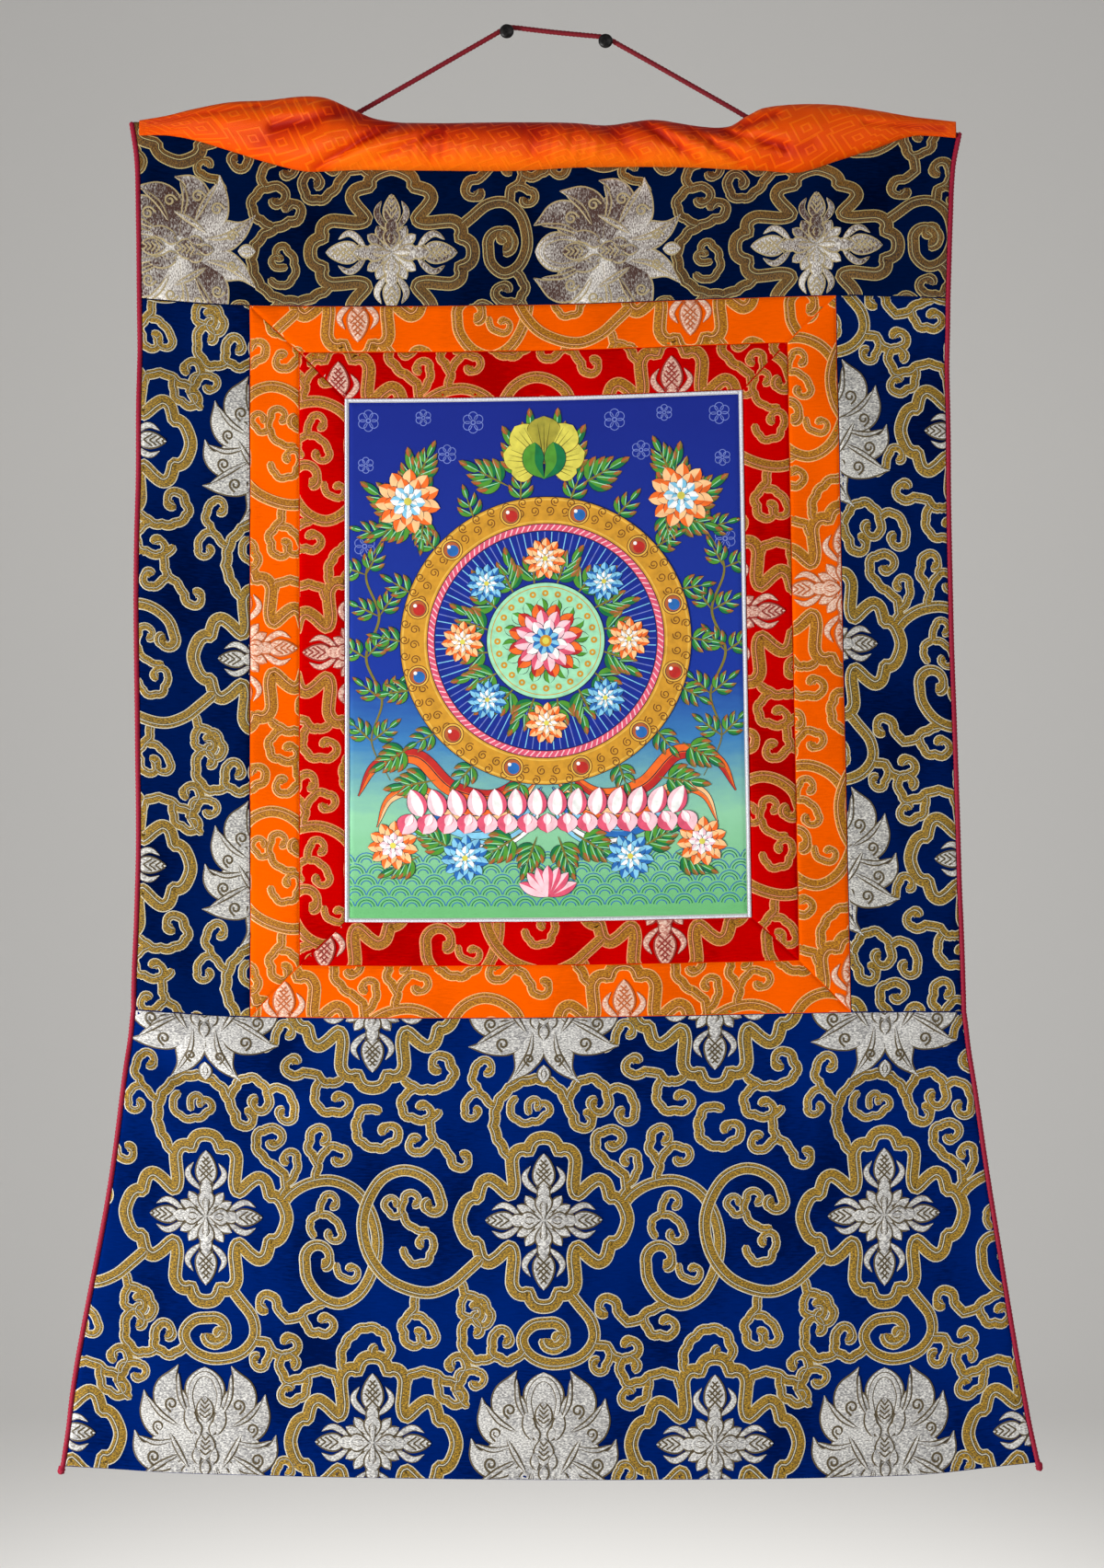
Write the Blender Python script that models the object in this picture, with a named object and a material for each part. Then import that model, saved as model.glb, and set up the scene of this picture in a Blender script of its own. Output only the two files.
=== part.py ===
"""A thangka scroll hung by its cord on two wall nails, modelled in metres with +Z up.

The scroll faces -Y and the wall is the plane y = 0. The origin is midway between the two nails,
on the wall. Every cloth piece is laid out flat as it was cut, then hung: the plan is moved to the
uneven outline that the cloth hangs in, and given its soft folds as a depth off the wall.
"""

import math

import bmesh
import bpy
from mathutils import Vector

# Sizes of the pieces as cut
PAINTING_WIDTH = 0.2978
PAINTING_HEIGHT = 0.3956
EDGING_DIAMETER = 0.0026
RED_SIDE_STRIP = 0.0350
RED_TOP_STRIP = 0.0353
RED_BOTTOM_STRIP = 0.0335
ORANGE_SIDE_STRIP = 0.0378
ORANGE_TOP_STRIP = 0.0350
ORANGE_BOTTOM_STRIP = 0.0400
SIDE_PANEL_WIDTH = 0.0853
TOP_PANEL_HEIGHT = 0.1350
BOTTOM_PANEL_HEIGHT = 0.3513
BOTTOM_FLARE = 0.0560
BROCADE_THICKNESS = 0.0020
CANVAS_THICKNESS = 0.0012
PIPING_DIAMETER = 0.0040
SEAM_GAP = 0.0003

# The knotted end of the piping: distance below the hem, width as a share of the piping's
PIPING_KNOT = [
    (0.0015, 1.45),
    (0.0030, 1.60),
    (0.0045, 1.45),
    (0.0055, 0.90),
]

# Where the scroll hangs, seen from between the nails
SCROLL_CENTRE_X = -0.0103
SCROLL_TOP_Z = -0.0682
TOP_OFF_WALL = 0.0075
BOTTOM_OFF_WALL = 0.0042
STRAIGHT_TOP = 0.0400
SETTLE_LENGTH = 0.4500
LOOSEN_LENGTH = 0.0300
RIGHT_SIDE_LEAN = 0.0120

# Nails
NAIL_X = 0.0378
NAIL_RISE = 0.0037
NAIL_SHANK_RADIUS = 0.00125
NAIL_LENGTH = 0.0150
NAIL_HEAD_RADIUS = 0.0055
NAIL_HEAD_DOME = 0.0030
NAIL_NECK_SHARE = 0.94
NAIL_RIM_SHARE = 0.15
NAIL_SIDES = 14
NAIL_DOME_STEPS = 4

# Hanging cord: its route over the nails, ending behind the top panel, in millimetres
CORD_DIAMETER = 0.0040
CORD_STEP = 0.0060
CORD_ROUTE = [
    # x, off the wall, z
    (-189.0, 5.2, -75.6),
    (-175.0, 5.2, -68.4),
    (-160.0, 5.2, -60.6),
    (-147.0, 5.6, -53.5),
    (-118.0, 6.8, -37.2),
    (-88.0, 8.2, -20.4),
    (-62.0, 9.6, -5.9),
    (-47.0, 10.6, 2.5),
    (-42.0, 10.8, 5.4),
    (-37.8, 10.8, 7.5),
    (-33.0, 10.8, 7.7),
    (-20.0, 10.8, 6.2),
    (0.0, 10.8, 3.9),
    (20.0, 10.8, 2.0),
    (33.0, 10.8, 0.8),
    (37.8, 10.8, 0.1),
    (42.0, 10.8, -1.9),
    (47.0, 10.6, -4.7),
    (75.0, 9.2, -20.0),
    (105.0, 7.6, -36.6),
    (133.0, 6.2, -52.1),
    (148.0, 5.3, -60.6),
    (160.0, 5.2, -67.4),
    (180.0, 5.2, -78.6),
]

# Lines of the plan, worked out from the sizes
EDGED_WIDTH = PAINTING_WIDTH + 2 * (EDGING_DIAMETER + 2 * SEAM_GAP)
EDGED_HEIGHT = PAINTING_HEIGHT + 2 * (EDGING_DIAMETER + 2 * SEAM_GAP)
RED_HALF_WIDTH = EDGED_WIDTH / 2 + RED_SIDE_STRIP
FRAME_HALF_WIDTH = RED_HALF_WIDTH + ORANGE_SIDE_STRIP
CLOTH_HALF_WIDTH = FRAME_HALF_WIDTH + SIDE_PANEL_WIDTH
BOTTOM_HALF_WIDTH = CLOTH_HALF_WIDTH + BOTTOM_FLARE
UPPER_SEAM_Z = SCROLL_TOP_Z - TOP_PANEL_HEIGHT
RED_TOP_Z = UPPER_SEAM_Z - ORANGE_TOP_STRIP
EDGED_TOP_Z = RED_TOP_Z - RED_TOP_STRIP
EDGED_BOTTOM_Z = EDGED_TOP_Z - EDGED_HEIGHT
RED_BOTTOM_Z = EDGED_BOTTOM_Z - RED_BOTTOM_STRIP
LOWER_SEAM_Z = RED_BOTTOM_Z - ORANGE_BOTTOM_STRIP
HEM_Z = LOWER_SEAM_Z - BOTTOM_PANEL_HEIGHT

# Rows of faces down each band of the cloth, which the piping follows
TOP_ROWS = 6
SIDE_ROWS = 26
BOTTOM_ROWS = 20

# Other counts of faces: across the panels, and along and down the framed pieces
TOP_COLUMNS = 30
SIDE_COLUMNS = 5
BOTTOM_COLUMNS = 36
ORANGE_GRID = (20, 24)
RED_GRID = (18, 20)
STRIP_STEPS = 2
CANVAS_GRID = (8, 10)
EDGING_LEVEL_STEPS = 14
EDGING_UPRIGHT_STEPS = 18
SHARP_ANGLE = math.radians(40)

# How far each side edge hangs outside its straight line, in millimetres
EDGE_WANDER = [
    # height, left, right
    (-0.064, 4.5, 9.0),
    (-0.100, -0.5, 2.8),
    (-0.200, -2.5, -1.0),
    (-0.300, -2.0, -3.3),
    (-0.430, 0.3, -3.8),
    (-0.620, -1.5, -1.9),
    (-0.745, 2.2, -0.7),
    (-0.885, -1.3, -2.8),
    (-1.025, 2.2, -2.6),
    (-1.100, 0.0, -0.5),
]

# How far each level line hangs above its straight line, in millimetres
LEVEL_WANDER = [
    # height, left edge, left of frame, centre, right of frame, right edge
    (-0.0682, 4.0, 3.0, 0.0, -2.0, -4.0),
    (-0.2032, 2.8, -2.1, -1.1, 5.7, 3.5),
    (-0.7490, 3.5, -2.1, -2.8, 1.4, 2.1),
    (-1.1003, 5.0, -1.4, -6.0, -2.8, 7.8),
]
LEVEL_STATIONS = [-1.0, -0.73, 0.0, 0.73, 1.0]

# Soft folds of the hung cloth, straight ridges and troughs, in millimetres
CLOTH_FOLDS = [
    # from x, from z, to x, to z, half width, height
    (-321, -772, -226, -823, 13, -3.2),
    (-226, -823, -137, -865, 16, -2.2),
    (-137, -865, -46, -862, 18, -1.4),
    (-305, -757, -190, -810, 14, 2.4),
    (301, -779, 212, -839, 15, -2.8),
    (285, -758, 190, -815, 15, 2.2),
    (-279, -956, -88, -1020, 20, -1.8),
    (120, -985, 300, -940, 24, 1.8),
    (-20, -905, 10, -1040, 40, 2.0),
    (-318, -242, -240, -238, 14, -2.2),
    (-318, -290, -240, -285, 18, 1.6),
    (-318, -345, -240, -340, 18, -1.5),
    (-318, -560, -240, -556, 26, 1.4),
    (-318, -690, -240, -680, 16, -1.6),
    (222, -250, 300, -254, 14, -2.4),
    (222, -310, 300, -315, 20, 1.5),
    (222, -480, 305, -470, 24, -1.2),
    (222, -640, 305, -650, 20, -1.5),
    (-255, -118, -250, -185, 28, 1.5),
    (25, -118, 15, -185, 34, -1.4),
    (225, -118, 235, -185, 28, 1.3),
]
SIDE_CURL = 0.0030
SIDE_CURL_WIDTH = 0.0300
HEM_TROUGH = 0.0022
HEM_TROUGH_ABOVE = 0.0300
HEM_TROUGH_HALF_WIDTH = 0.0130
HEM_FLICK = 0.0030
HEM_FLICK_HEIGHT = 0.0140

# The gathered dust cover: sections across it, from its left end to its right end
COVER_SECTIONS = [
    # x, top z, bottom z, belly in front of its back
    (-0.3196, -0.0635, -0.0750, 0.0030),
    (-0.2990, -0.0600, -0.0750, 0.0050),
    (-0.2785, -0.0550, -0.0784, 0.0080),
    (-0.2500, -0.0497, -0.0869, 0.0115),
    (-0.2220, -0.0483, -0.0957, 0.0140),
    (-0.1940, -0.0453, -0.1024, 0.0160),
    (-0.1760, -0.0467, -0.1026, 0.0175),
    (-0.1560, -0.0554, -0.1017, 0.0170),
    (-0.1370, -0.0630, -0.1016, 0.0180),
    (-0.1090, -0.0658, -0.1019, 0.0190),
    (-0.0300, -0.0653, -0.1021, 0.0200),
    (0.0110, -0.0658, -0.0998, 0.0205),
    (0.0390, -0.0676, -0.0993, 0.0195),
    (0.0740, -0.0635, -0.0991, 0.0190),
    (0.1100, -0.0684, -0.0998, 0.0180),
    (0.1320, -0.0686, -0.1010, 0.0175),
    (0.1457, -0.0607, -0.1016, 0.0175),
    (0.1590, -0.0543, -0.1021, 0.0180),
    (0.1870, -0.0513, -0.1033, 0.0175),
    (0.2158, -0.0520, -0.0945, 0.0145),
    (0.2443, -0.0559, -0.0853, 0.0110),
    (0.2726, -0.0607, -0.0757, 0.0070),
    (0.2920, -0.0630, -0.0757, 0.0045),
    (0.3065, -0.0646, -0.0770, 0.0030),
]

# Creases and ridges on the front of the cover, in millimetres
COVER_FOLDS = [
    # from x, from z, to x, to z, half width, height
    (-184, -102, -116, -64, 4.5, -4.5),
    (-172, -105, -100, -70, 7.0, 2.6),
    (-216, -70, -166, -61, 4.0, -3.0),
    (-311, -65, -229, -54, 3.0, -1.5),
    (60, -64, 116, -102, 5.0, -3.0),
    (76, -64, 132, -102, 6.0, 2.0),
    (90, -67, 140, -96, 5.0, -3.0),
    (112, -70, 174, -87, 5.0, -3.0),
    (143, -70, 168, -61, 4.0, -3.5),
    (236, -67, 296, -71, 3.0, -1.5),
    (-88, -64, -96, -102, 7.0, -1.4),
    (-20, -64, -14, -102, 8.0, -1.4),
]
COVER_BACK_GAP = 0.0004
COVER_EDGE_THICKNESS = 0.0012
COVER_SLICES = 64
COVER_FRONT_STEPS = 10
COVER_BACK_STEPS = 3
COVER_UPPER_FULLNESS = 0.9
COVER_SAG = 0.2
COVER_FULL_BELLY = 0.0120

COLOURS = {
    # name: (colour, roughness, metallic)
    "navy_brocade": ((0.010, 0.030, 0.160, 1), 0.45, 0.0),
    "orange_brocade": ((0.850, 0.180, 0.015, 1), 0.45, 0.0),
    "red_brocade": ((0.560, 0.008, 0.006, 1), 0.45, 0.0),
    "painted_canvas": ((0.060, 0.150, 0.380, 1), 0.75, 0.0),
    "white_cord": ((0.720, 0.740, 0.780, 1), 0.55, 0.0),
    "crimson_cord": ((0.260, 0.006, 0.022, 1), 0.55, 0.0),
    "saffron_silk": ((0.900, 0.110, 0.006, 1), 0.38, 0.0),
    "black_nail": ((0.010, 0.010, 0.011, 1), 0.35, 0.8),
}


def smooth(t):
    """0 to 1 with no corner at either end."""
    t = min(1.0, max(0.0, t))
    return t * t * (3 - 2 * t)


def table_value(keys, values, at):
    """A smooth curve through a table's values, held level past its ends."""
    if at <= keys[0]:
        return values[0]
    if at >= keys[-1]:
        return values[-1]
    i = max(k for k in range(len(keys) - 1) if keys[k] <= at)
    span = keys[i + 1] - keys[i]
    t = (at - keys[i]) / span
    rise = values[i + 1] - values[i]
    start = rise
    if i > 0:
        start = (values[i + 1] - values[i - 1]) / (keys[i + 1] - keys[i - 1]) * span
    end = rise
    if i + 2 < len(keys):
        end = (values[i + 2] - values[i]) / (keys[i + 2] - keys[i]) * span
    return (
        values[i] * (1 + 2 * t) * (1 - t) ** 2
        + start * t * (1 - t) ** 2
        + values[i + 1] * t * t * (3 - 2 * t)
        + end * t * t * (t - 1)
    )


def column(table, index):
    """One column of a table that runs from top to bottom, turned to run upwards."""
    return [row[index] for row in reversed(table)]


def half_width_at(z):
    """Half the width of the cut cloth at a height: straight sides, then a flared lower panel."""
    flare = max(0.0, (LOWER_SEAM_Z - z) / BOTTOM_PANEL_HEIGHT)
    return CLOTH_HALF_WIDTH + BOTTOM_FLARE * flare


def fold_height(folds, x, z):
    """Height in metres of a set of soft straight folds at a point."""
    total = 0.0
    for x0, z0, x1, z1, half_width, height in folds:
        run = Vector((x1 - x0, z1 - z0))
        to_point = Vector((x * 1000 - x0, z * 1000 - z0))
        along = to_point.dot(run) / run.length_squared
        across = (to_point - run * along).length
        past_end = max(0.0, -along, along - 1) * run.length
        total += height * math.exp(-(across**2 + past_end**2) / (2 * half_width**2))
    return total / 1000


def hung_place(x, z):
    """Where a point of the cut plan hangs: (x, z) with the wander of edges and level lines."""
    heights = column(EDGE_WANDER, 0)
    side = 1 if x < 0 else 2
    wander = table_value(heights, column(EDGE_WANDER, side), z) / 1000
    outer_share = max(0.0, (abs(x) - FRAME_HALF_WIDTH) / (half_width_at(z) - FRAME_HALF_WIDTH))
    moved_x = x + (wander if x > 0 else -wander) * min(1.0, outer_share)
    down = min(1.0, max(0.0, (UPPER_SEAM_Z - z) / (UPPER_SEAM_Z - LOWER_SEAM_Z)))
    rightward = min(1.0, max(0.0, (x + EDGED_WIDTH / 2) / (FRAME_HALF_WIDTH + EDGED_WIDTH / 2)))
    moved_x += RIGHT_SIDE_LEAN * down * rightward

    u = x / half_width_at(z)
    levels = [table_value(LEVEL_STATIONS, row[1:], u) for row in reversed(LEVEL_WANDER)]
    moved_z = z + table_value(column(LEVEL_WANDER, 0), levels, z) / 1000
    return SCROLL_CENTRE_X + moved_x, moved_z


def back_off_wall(x, z):
    """How far the cloth's back hangs in front of the wall at a point of the plan."""
    below_top = SCROLL_TOP_Z - STRAIGHT_TOP - z
    settle = smooth(below_top / SETTLE_LENGTH)
    depth = TOP_OFF_WALL + (BOTTOM_OFF_WALL - TOP_OFF_WALL) * settle
    loose = smooth(below_top / LOOSEN_LENGTH)
    depth += fold_height(CLOTH_FOLDS, x + SCROLL_CENTRE_X, z) * loose
    from_side = max(0.0, half_width_at(z) - abs(x))
    depth += SIDE_CURL * math.exp(-((from_side / SIDE_CURL_WIDTH) ** 2)) * loose
    above_hem = z - HEM_Z
    depth += HEM_FLICK * math.exp(-((above_hem / HEM_FLICK_HEIGHT) ** 2))
    from_trough = (above_hem - HEM_TROUGH_ABOVE) / HEM_TROUGH_HALF_WIDTH
    depth -= HEM_TROUGH * math.exp(-(from_trough**2))
    return depth


def hung_point(x, z, in_front=0.0):
    """The hung place of a plan point, that far in front of the cloth's back."""
    place_x, place_z = hung_place(x, z)
    return Vector((place_x, -back_off_wall(x, z) - in_front, place_z))


def material(name):
    """The plain material of a sort of piece."""
    found = bpy.data.materials.get(name)
    if found:
        return found
    colour, roughness, metallic = COLOURS[name]
    made = bpy.data.materials.new(name)
    made.use_nodes = True
    shader = made.node_tree.nodes["Principled BSDF"]
    shader.inputs["Base Color"].default_value = colour
    shader.inputs["Roughness"].default_value = roughness
    shader.inputs["Metallic"].default_value = metallic
    made.diffuse_color = colour
    return made


def add_object(name, data, material_name):
    """Puts a mesh or curve into the scene under its name."""
    data.materials.append(material(material_name))
    made = bpy.data.objects.new(name, data)
    bpy.context.scene.collection.objects.link(made)
    return made


def mesh_object(name, mesh_builder, material_name, smooth_faces=True):
    """Closes a bmesh into a named object, with its faces pointing out."""
    bmesh.ops.recalc_face_normals(mesh_builder, faces=mesh_builder.faces)
    mesh = bpy.data.meshes.new(name)
    mesh_builder.to_mesh(mesh)
    mesh_builder.free()
    if smooth_faces:
        mesh.shade_smooth()
        mesh.set_sharp_from_angle(angle=SHARP_ANGLE)
    return add_object(name, mesh, material_name)


def inset(corners, distance):
    """A four-cornered plan with every edge moved in by a distance."""
    centre = sum((Vector(c) for c in corners), Vector((0, 0))) / 4
    lines = []
    for i in range(4):
        start = Vector(corners[i])
        run = (Vector(corners[(i + 1) % 4]) - start).normalized()
        inward = Vector((-run.y, run.x))
        if inward.dot(centre - start) < 0:
            inward = -inward
        lines.append((start + inward * distance, run))
    made = []
    for i in range(4):
        (p, r), (q, s) = lines[i - 1], lines[i]
        t = ((q.x - p.x) * s.y - (q.y - p.y) * s.x) / (r.x * s.y - r.y * s.x)
        made.append(p + r * t)
    return made


def cloth_sheet(name, corners, columns, rows, material_name, thickness=BROCADE_THICKNESS, in_front=0.0):
    """A hung sheet of cloth. The corners of its plan are top left, top right, bottom right, bottom left."""
    top_left, top_right, bottom_right, bottom_left = inset(corners, SEAM_GAP / 2)
    builder = bmesh.new()
    layers = []
    for depth in (in_front + thickness, in_front):
        grid = []
        for r in range(rows + 1):
            left = top_left.lerp(bottom_left, r / rows)
            right = top_right.lerp(bottom_right, r / rows)
            line = [left.lerp(right, c / columns) for c in range(columns + 1)]
            grid.append([builder.verts.new(hung_point(p.x, p.y, depth)) for p in line])
        layers.append(grid)
    front, back = layers
    for r in range(rows):
        for c in range(columns):
            for grid in layers:
                builder.faces.new((grid[r][c], grid[r + 1][c], grid[r + 1][c + 1], grid[r][c + 1]))
    rim = [(0, c) for c in range(columns)]
    rim += [(r, columns) for r in range(rows)]
    rim += [(rows, c) for c in range(columns, 0, -1)]
    rim += [(r, 0) for r in range(rows, 0, -1)]
    for (r0, c0), (r1, c1) in zip(rim, rim[1:] + rim[:1]):
        builder.faces.new((front[r0][c0], front[r1][c1], back[r1][c1], back[r0][c0]))
    return mesh_object(name, builder, material_name)


def sewn_cord(name, points, diameter, material_name, widths=None):
    """A cord along points, as a beveled curve with closed ends. Widths are shares of the diameter."""
    curve = bpy.data.curves.new(name, "CURVE")
    curve.dimensions = "3D"
    spline = curve.splines.new("POLY")
    spline.points.add(len(points) - 1)
    for point, place in zip(spline.points, points):
        point.co = (*place, 1)
    if widths:
        spline.points.foreach_set("radius", widths)
    curve.bevel_depth = diameter / 2
    curve.bevel_resolution = 2
    curve.use_fill_caps = True
    return add_object(name, curve, material_name)


def upright(x0, x1, top, bottom):
    """The plan of an upright rectangle."""
    return [(x0, top), (x1, top), (x1, bottom), (x0, bottom)]


def make_brocade_panels():
    """The four navy panels: one above, one each side and the flared one below."""
    cloth_sheet(
        "top_panel",
        upright(-CLOTH_HALF_WIDTH, CLOTH_HALF_WIDTH, SCROLL_TOP_Z, UPPER_SEAM_Z),
        TOP_COLUMNS,
        TOP_ROWS,
        "navy_brocade",
    )
    for name, x0, x1 in (
        ("side_panel_left", -CLOTH_HALF_WIDTH, -FRAME_HALF_WIDTH),
        ("side_panel_right", FRAME_HALF_WIDTH, CLOTH_HALF_WIDTH),
    ):
        cloth_sheet(name, upright(x0, x1, UPPER_SEAM_Z, LOWER_SEAM_Z), SIDE_COLUMNS, SIDE_ROWS, "navy_brocade")
    flared = [
        (-CLOTH_HALF_WIDTH, LOWER_SEAM_Z),
        (CLOTH_HALF_WIDTH, LOWER_SEAM_Z),
        (BOTTOM_HALF_WIDTH, HEM_Z),
        (-BOTTOM_HALF_WIDTH, HEM_Z),
    ]
    cloth_sheet("bottom_panel", flared, BOTTOM_COLUMNS, BOTTOM_ROWS, "navy_brocade")


def make_mitred_frame(prefix, outer, inner, columns, rows, material_name):
    """Four strips round an opening, joined at mitred corners. Outer and inner are (half width, top, bottom)."""
    (ox, ot, ob), (ix, it, ib) = outer, inner
    strips = {
        "top": ([(-ox, ot), (ox, ot), (ix, it), (-ix, it)], columns, STRIP_STEPS),
        "right": ([(ix, it), (ox, ot), (ox, ob), (ix, ib)], STRIP_STEPS, rows),
        "bottom": ([(-ix, ib), (ix, ib), (ox, ob), (-ox, ob)], columns, STRIP_STEPS),
        "left": ([(-ox, ot), (-ix, it), (-ix, ib), (-ox, ob)], STRIP_STEPS, rows),
    }
    for side, (corners, across, down) in strips.items():
        cloth_sheet(f"{prefix}_{side}", corners, across, down, material_name)


def make_painting():
    """The painted canvas and the white cord sewn round it, a length for each side."""
    half_width, half_edged = PAINTING_WIDTH / 2 + SEAM_GAP / 2, EDGED_WIDTH / 2
    top = EDGED_TOP_Z - EDGING_DIAMETER - SEAM_GAP * 1.5
    bottom = EDGED_BOTTOM_Z + EDGING_DIAMETER + SEAM_GAP * 1.5
    corners = upright(-half_width, half_width, top, bottom)
    in_front = (BROCADE_THICKNESS - CANVAS_THICKNESS) / 2
    cloth_sheet("painting_canvas", corners, *CANVAS_GRID, "painted_canvas", CANVAS_THICKNESS, in_front)

    middle = SEAM_GAP + EDGING_DIAMETER / 2
    depth = BROCADE_THICKNESS / 2
    x, high, low = half_edged - middle, EDGED_TOP_Z - middle, EDGED_BOTTOM_Z + middle
    short = x - EDGING_DIAMETER / 2 - SEAM_GAP
    tall = (high + EDGING_DIAMETER / 2, low - EDGING_DIAMETER / 2)
    runs = {
        "top": ((-short, high), (short, high), EDGING_LEVEL_STEPS),
        "bottom": ((-short, low), (short, low), EDGING_LEVEL_STEPS),
        "left": ((-x, tall[0]), (-x, tall[1]), EDGING_UPRIGHT_STEPS),
        "right": ((x, tall[0]), (x, tall[1]), EDGING_UPRIGHT_STEPS),
    }
    for side, (start, end, count) in runs.items():
        line = [Vector(start).lerp(Vector(end), i / count) for i in range(count + 1)]
        points = [hung_point(p.x, p.y, depth) for p in line]
        sewn_cord(f"cord_edging_{side}", points, EDGING_DIAMETER, "white_cord")


def piping_heights():
    """The heights of the panels' rows, from the top edge to the hem."""
    bands = [
        (SCROLL_TOP_Z, UPPER_SEAM_Z, TOP_ROWS),
        (UPPER_SEAM_Z, LOWER_SEAM_Z, SIDE_ROWS),
        (LOWER_SEAM_Z, HEM_Z, BOTTOM_ROWS),
    ]
    heights = [top + (bottom - top) * i / rows for top, bottom, rows in bands for i in range(rows)]
    return heights + [HEM_Z]


def make_piping():
    """The crimson cord down each outer edge, knotted into a thicker end below the hem."""
    for name, side in (("piping_left", -1), ("piping_right", 1)):
        heights = piping_heights()
        widths = [1.0] * len(heights)
        heights += [HEM_Z - rise for rise, width in PIPING_KNOT]
        widths += [width for rise, width in PIPING_KNOT]
        points = []
        for z, width in zip(heights, widths):
            edge_z = max(z, HEM_Z)
            edge = hung_point(side * half_width_at(edge_z), edge_z, BROCADE_THICKNESS / 2)
            beside = PIPING_DIAMETER / 2 * width + SEAM_GAP * 1.3
            points.append(edge + Vector((side * beside, 0, z - edge_z)))
        sewn_cord(name, points, PIPING_DIAMETER, "crimson_cord", widths)


def cover_section(x):
    """The closed outline of the gathered cover at x, as points round it."""
    keys = [row[0] for row in COVER_SECTIONS]
    top, bottom, belly = (table_value(keys, [row[i] for row in COVER_SECTIONS], x) for i in (1, 2, 3))
    back = TOP_OFF_WALL + BROCADE_THICKNESS + COVER_BACK_GAP
    outline = []
    for k in range(COVER_FRONT_STEPS + 1):
        share = (1 - math.cos(math.pi * k / COVER_FRONT_STEPS)) / 2
        z = top + (bottom - top) * share
        bulge = math.sqrt(max(0.0, 4 * share * (1 - share))) * (COVER_UPPER_FULLNESS + COVER_SAG * share)
        depth = COVER_EDGE_THICKNESS + (belly - COVER_EDGE_THICKNESS) * bulge
        depth += fold_height(COVER_FOLDS, x, z) * bulge * min(1.0, belly / COVER_FULL_BELLY)
        outline.append(Vector((x, -back - max(depth, COVER_EDGE_THICKNESS), z)))
    for k in range(COVER_BACK_STEPS + 1):
        z = bottom + (top - bottom) * k / COVER_BACK_STEPS
        outline.append(Vector((x, -back, z)))
    return outline


def make_dust_cover():
    """The silk cover, gathered up to the top edge: a wing at each end and a roll between them."""
    builder = bmesh.new()
    left, right = COVER_SECTIONS[0][0], COVER_SECTIONS[-1][0]
    rings = []
    for i in range(COVER_SLICES + 1):
        outline = cover_section(left + (right - left) * i / COVER_SLICES)
        rings.append([builder.verts.new(p) for p in outline])
    count = len(rings[0])
    for a, b in zip(rings, rings[1:]):
        for k in range(count):
            n = (k + 1) % count
            builder.faces.new((a[k], a[n], b[n], b[k]))
    builder.faces.new(rings[0])
    builder.faces.new(rings[-1])
    mesh_object("dust_cover", builder, "saffron_silk")


def nail_place(side):
    """The middle of a nail's cut end on the wall: the left nail is a little higher."""
    return Vector((side * NAIL_X, 0, -side * NAIL_RISE))


def make_nails():
    """Two round-headed nails, turned about their shanks, cut off at the wall."""
    profile = [(0, 0), (NAIL_SHANK_RADIUS, 0)]
    profile += [(NAIL_SHANK_RADIUS, NAIL_LENGTH), (NAIL_HEAD_RADIUS * NAIL_NECK_SHARE, NAIL_LENGTH)]
    for i in range(NAIL_DOME_STEPS + 1):
        angle = math.pi / 2 * i / NAIL_DOME_STEPS
        radius = NAIL_HEAD_RADIUS * math.cos(angle)
        rise = NAIL_RIM_SHARE + (1 - NAIL_RIM_SHARE) * math.sin(angle)
        profile.append((radius, NAIL_LENGTH + NAIL_HEAD_DOME * rise))
    profile[-1] = (0, profile[-1][1])
    for name, side in (("nail_left", -1), ("nail_right", 1)):
        builder = bmesh.new()
        verts = [builder.verts.new((radius, -out, 0)) for radius, out in profile]
        edges = [builder.edges.new(pair) for pair in zip(verts, verts[1:])]
        bmesh.ops.spin(
            builder,
            geom=verts + edges,
            cent=(0, 0, 0),
            axis=(0, 1, 0),
            angle=math.tau,
            steps=NAIL_SIDES,
            use_merge=True,
        )
        bmesh.ops.remove_doubles(builder, verts=builder.verts, dist=0.00001)
        nail = mesh_object(name, builder, "black_nail")
        nail.location = nail_place(side)


def make_hanging_cord():
    """The crimson hanging cord, on one smooth curve through its route's points."""
    points = [Vector((x, -off_wall, z)) / 1000 for x, off_wall, z in CORD_ROUTE]
    reached = [0.0]
    for a, b in zip(points, points[1:]):
        reached.append(reached[-1] + (b - a).length)
    places = []
    for start, end in zip(reached, reached[1:]):
        count = max(1, round((end - start) / CORD_STEP))
        places += [start + (end - start) * i / count for i in range(count)]
    places.append(reached[-1])
    axes = [[p[axis] for p in points] for axis in range(3)]
    smooth_points = [Vector([table_value(reached, axis, at) for axis in axes]) for at in places]
    sewn_cord("hanging_cord", smooth_points, CORD_DIAMETER, "crimson_cord")


def main():
    """Builds the whole scroll."""
    for old in list(bpy.data.objects):
        bpy.data.objects.remove(old)
    make_brocade_panels()
    cloth = (FRAME_HALF_WIDTH, UPPER_SEAM_Z, LOWER_SEAM_Z)
    red = (RED_HALF_WIDTH, RED_TOP_Z, RED_BOTTOM_Z)
    window = (EDGED_WIDTH / 2, EDGED_TOP_Z, EDGED_BOTTOM_Z)
    make_mitred_frame("orange_strip", cloth, red, *ORANGE_GRID, "orange_brocade")
    make_mitred_frame("red_strip", red, window, *RED_GRID, "red_brocade")
    make_painting()
    make_piping()
    make_dust_cover()
    make_nails()
    make_hanging_cord()


main()
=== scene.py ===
"""The looks of the thangka scroll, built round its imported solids.

Every cloth is laid out flat in its plan, in millimetres, with its woven or painted design, and then
hung with the same wander and folds as its solid. Places are (across, up) in the plan, and a lift is
a height off the front of the cloth.
"""

import math

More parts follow.
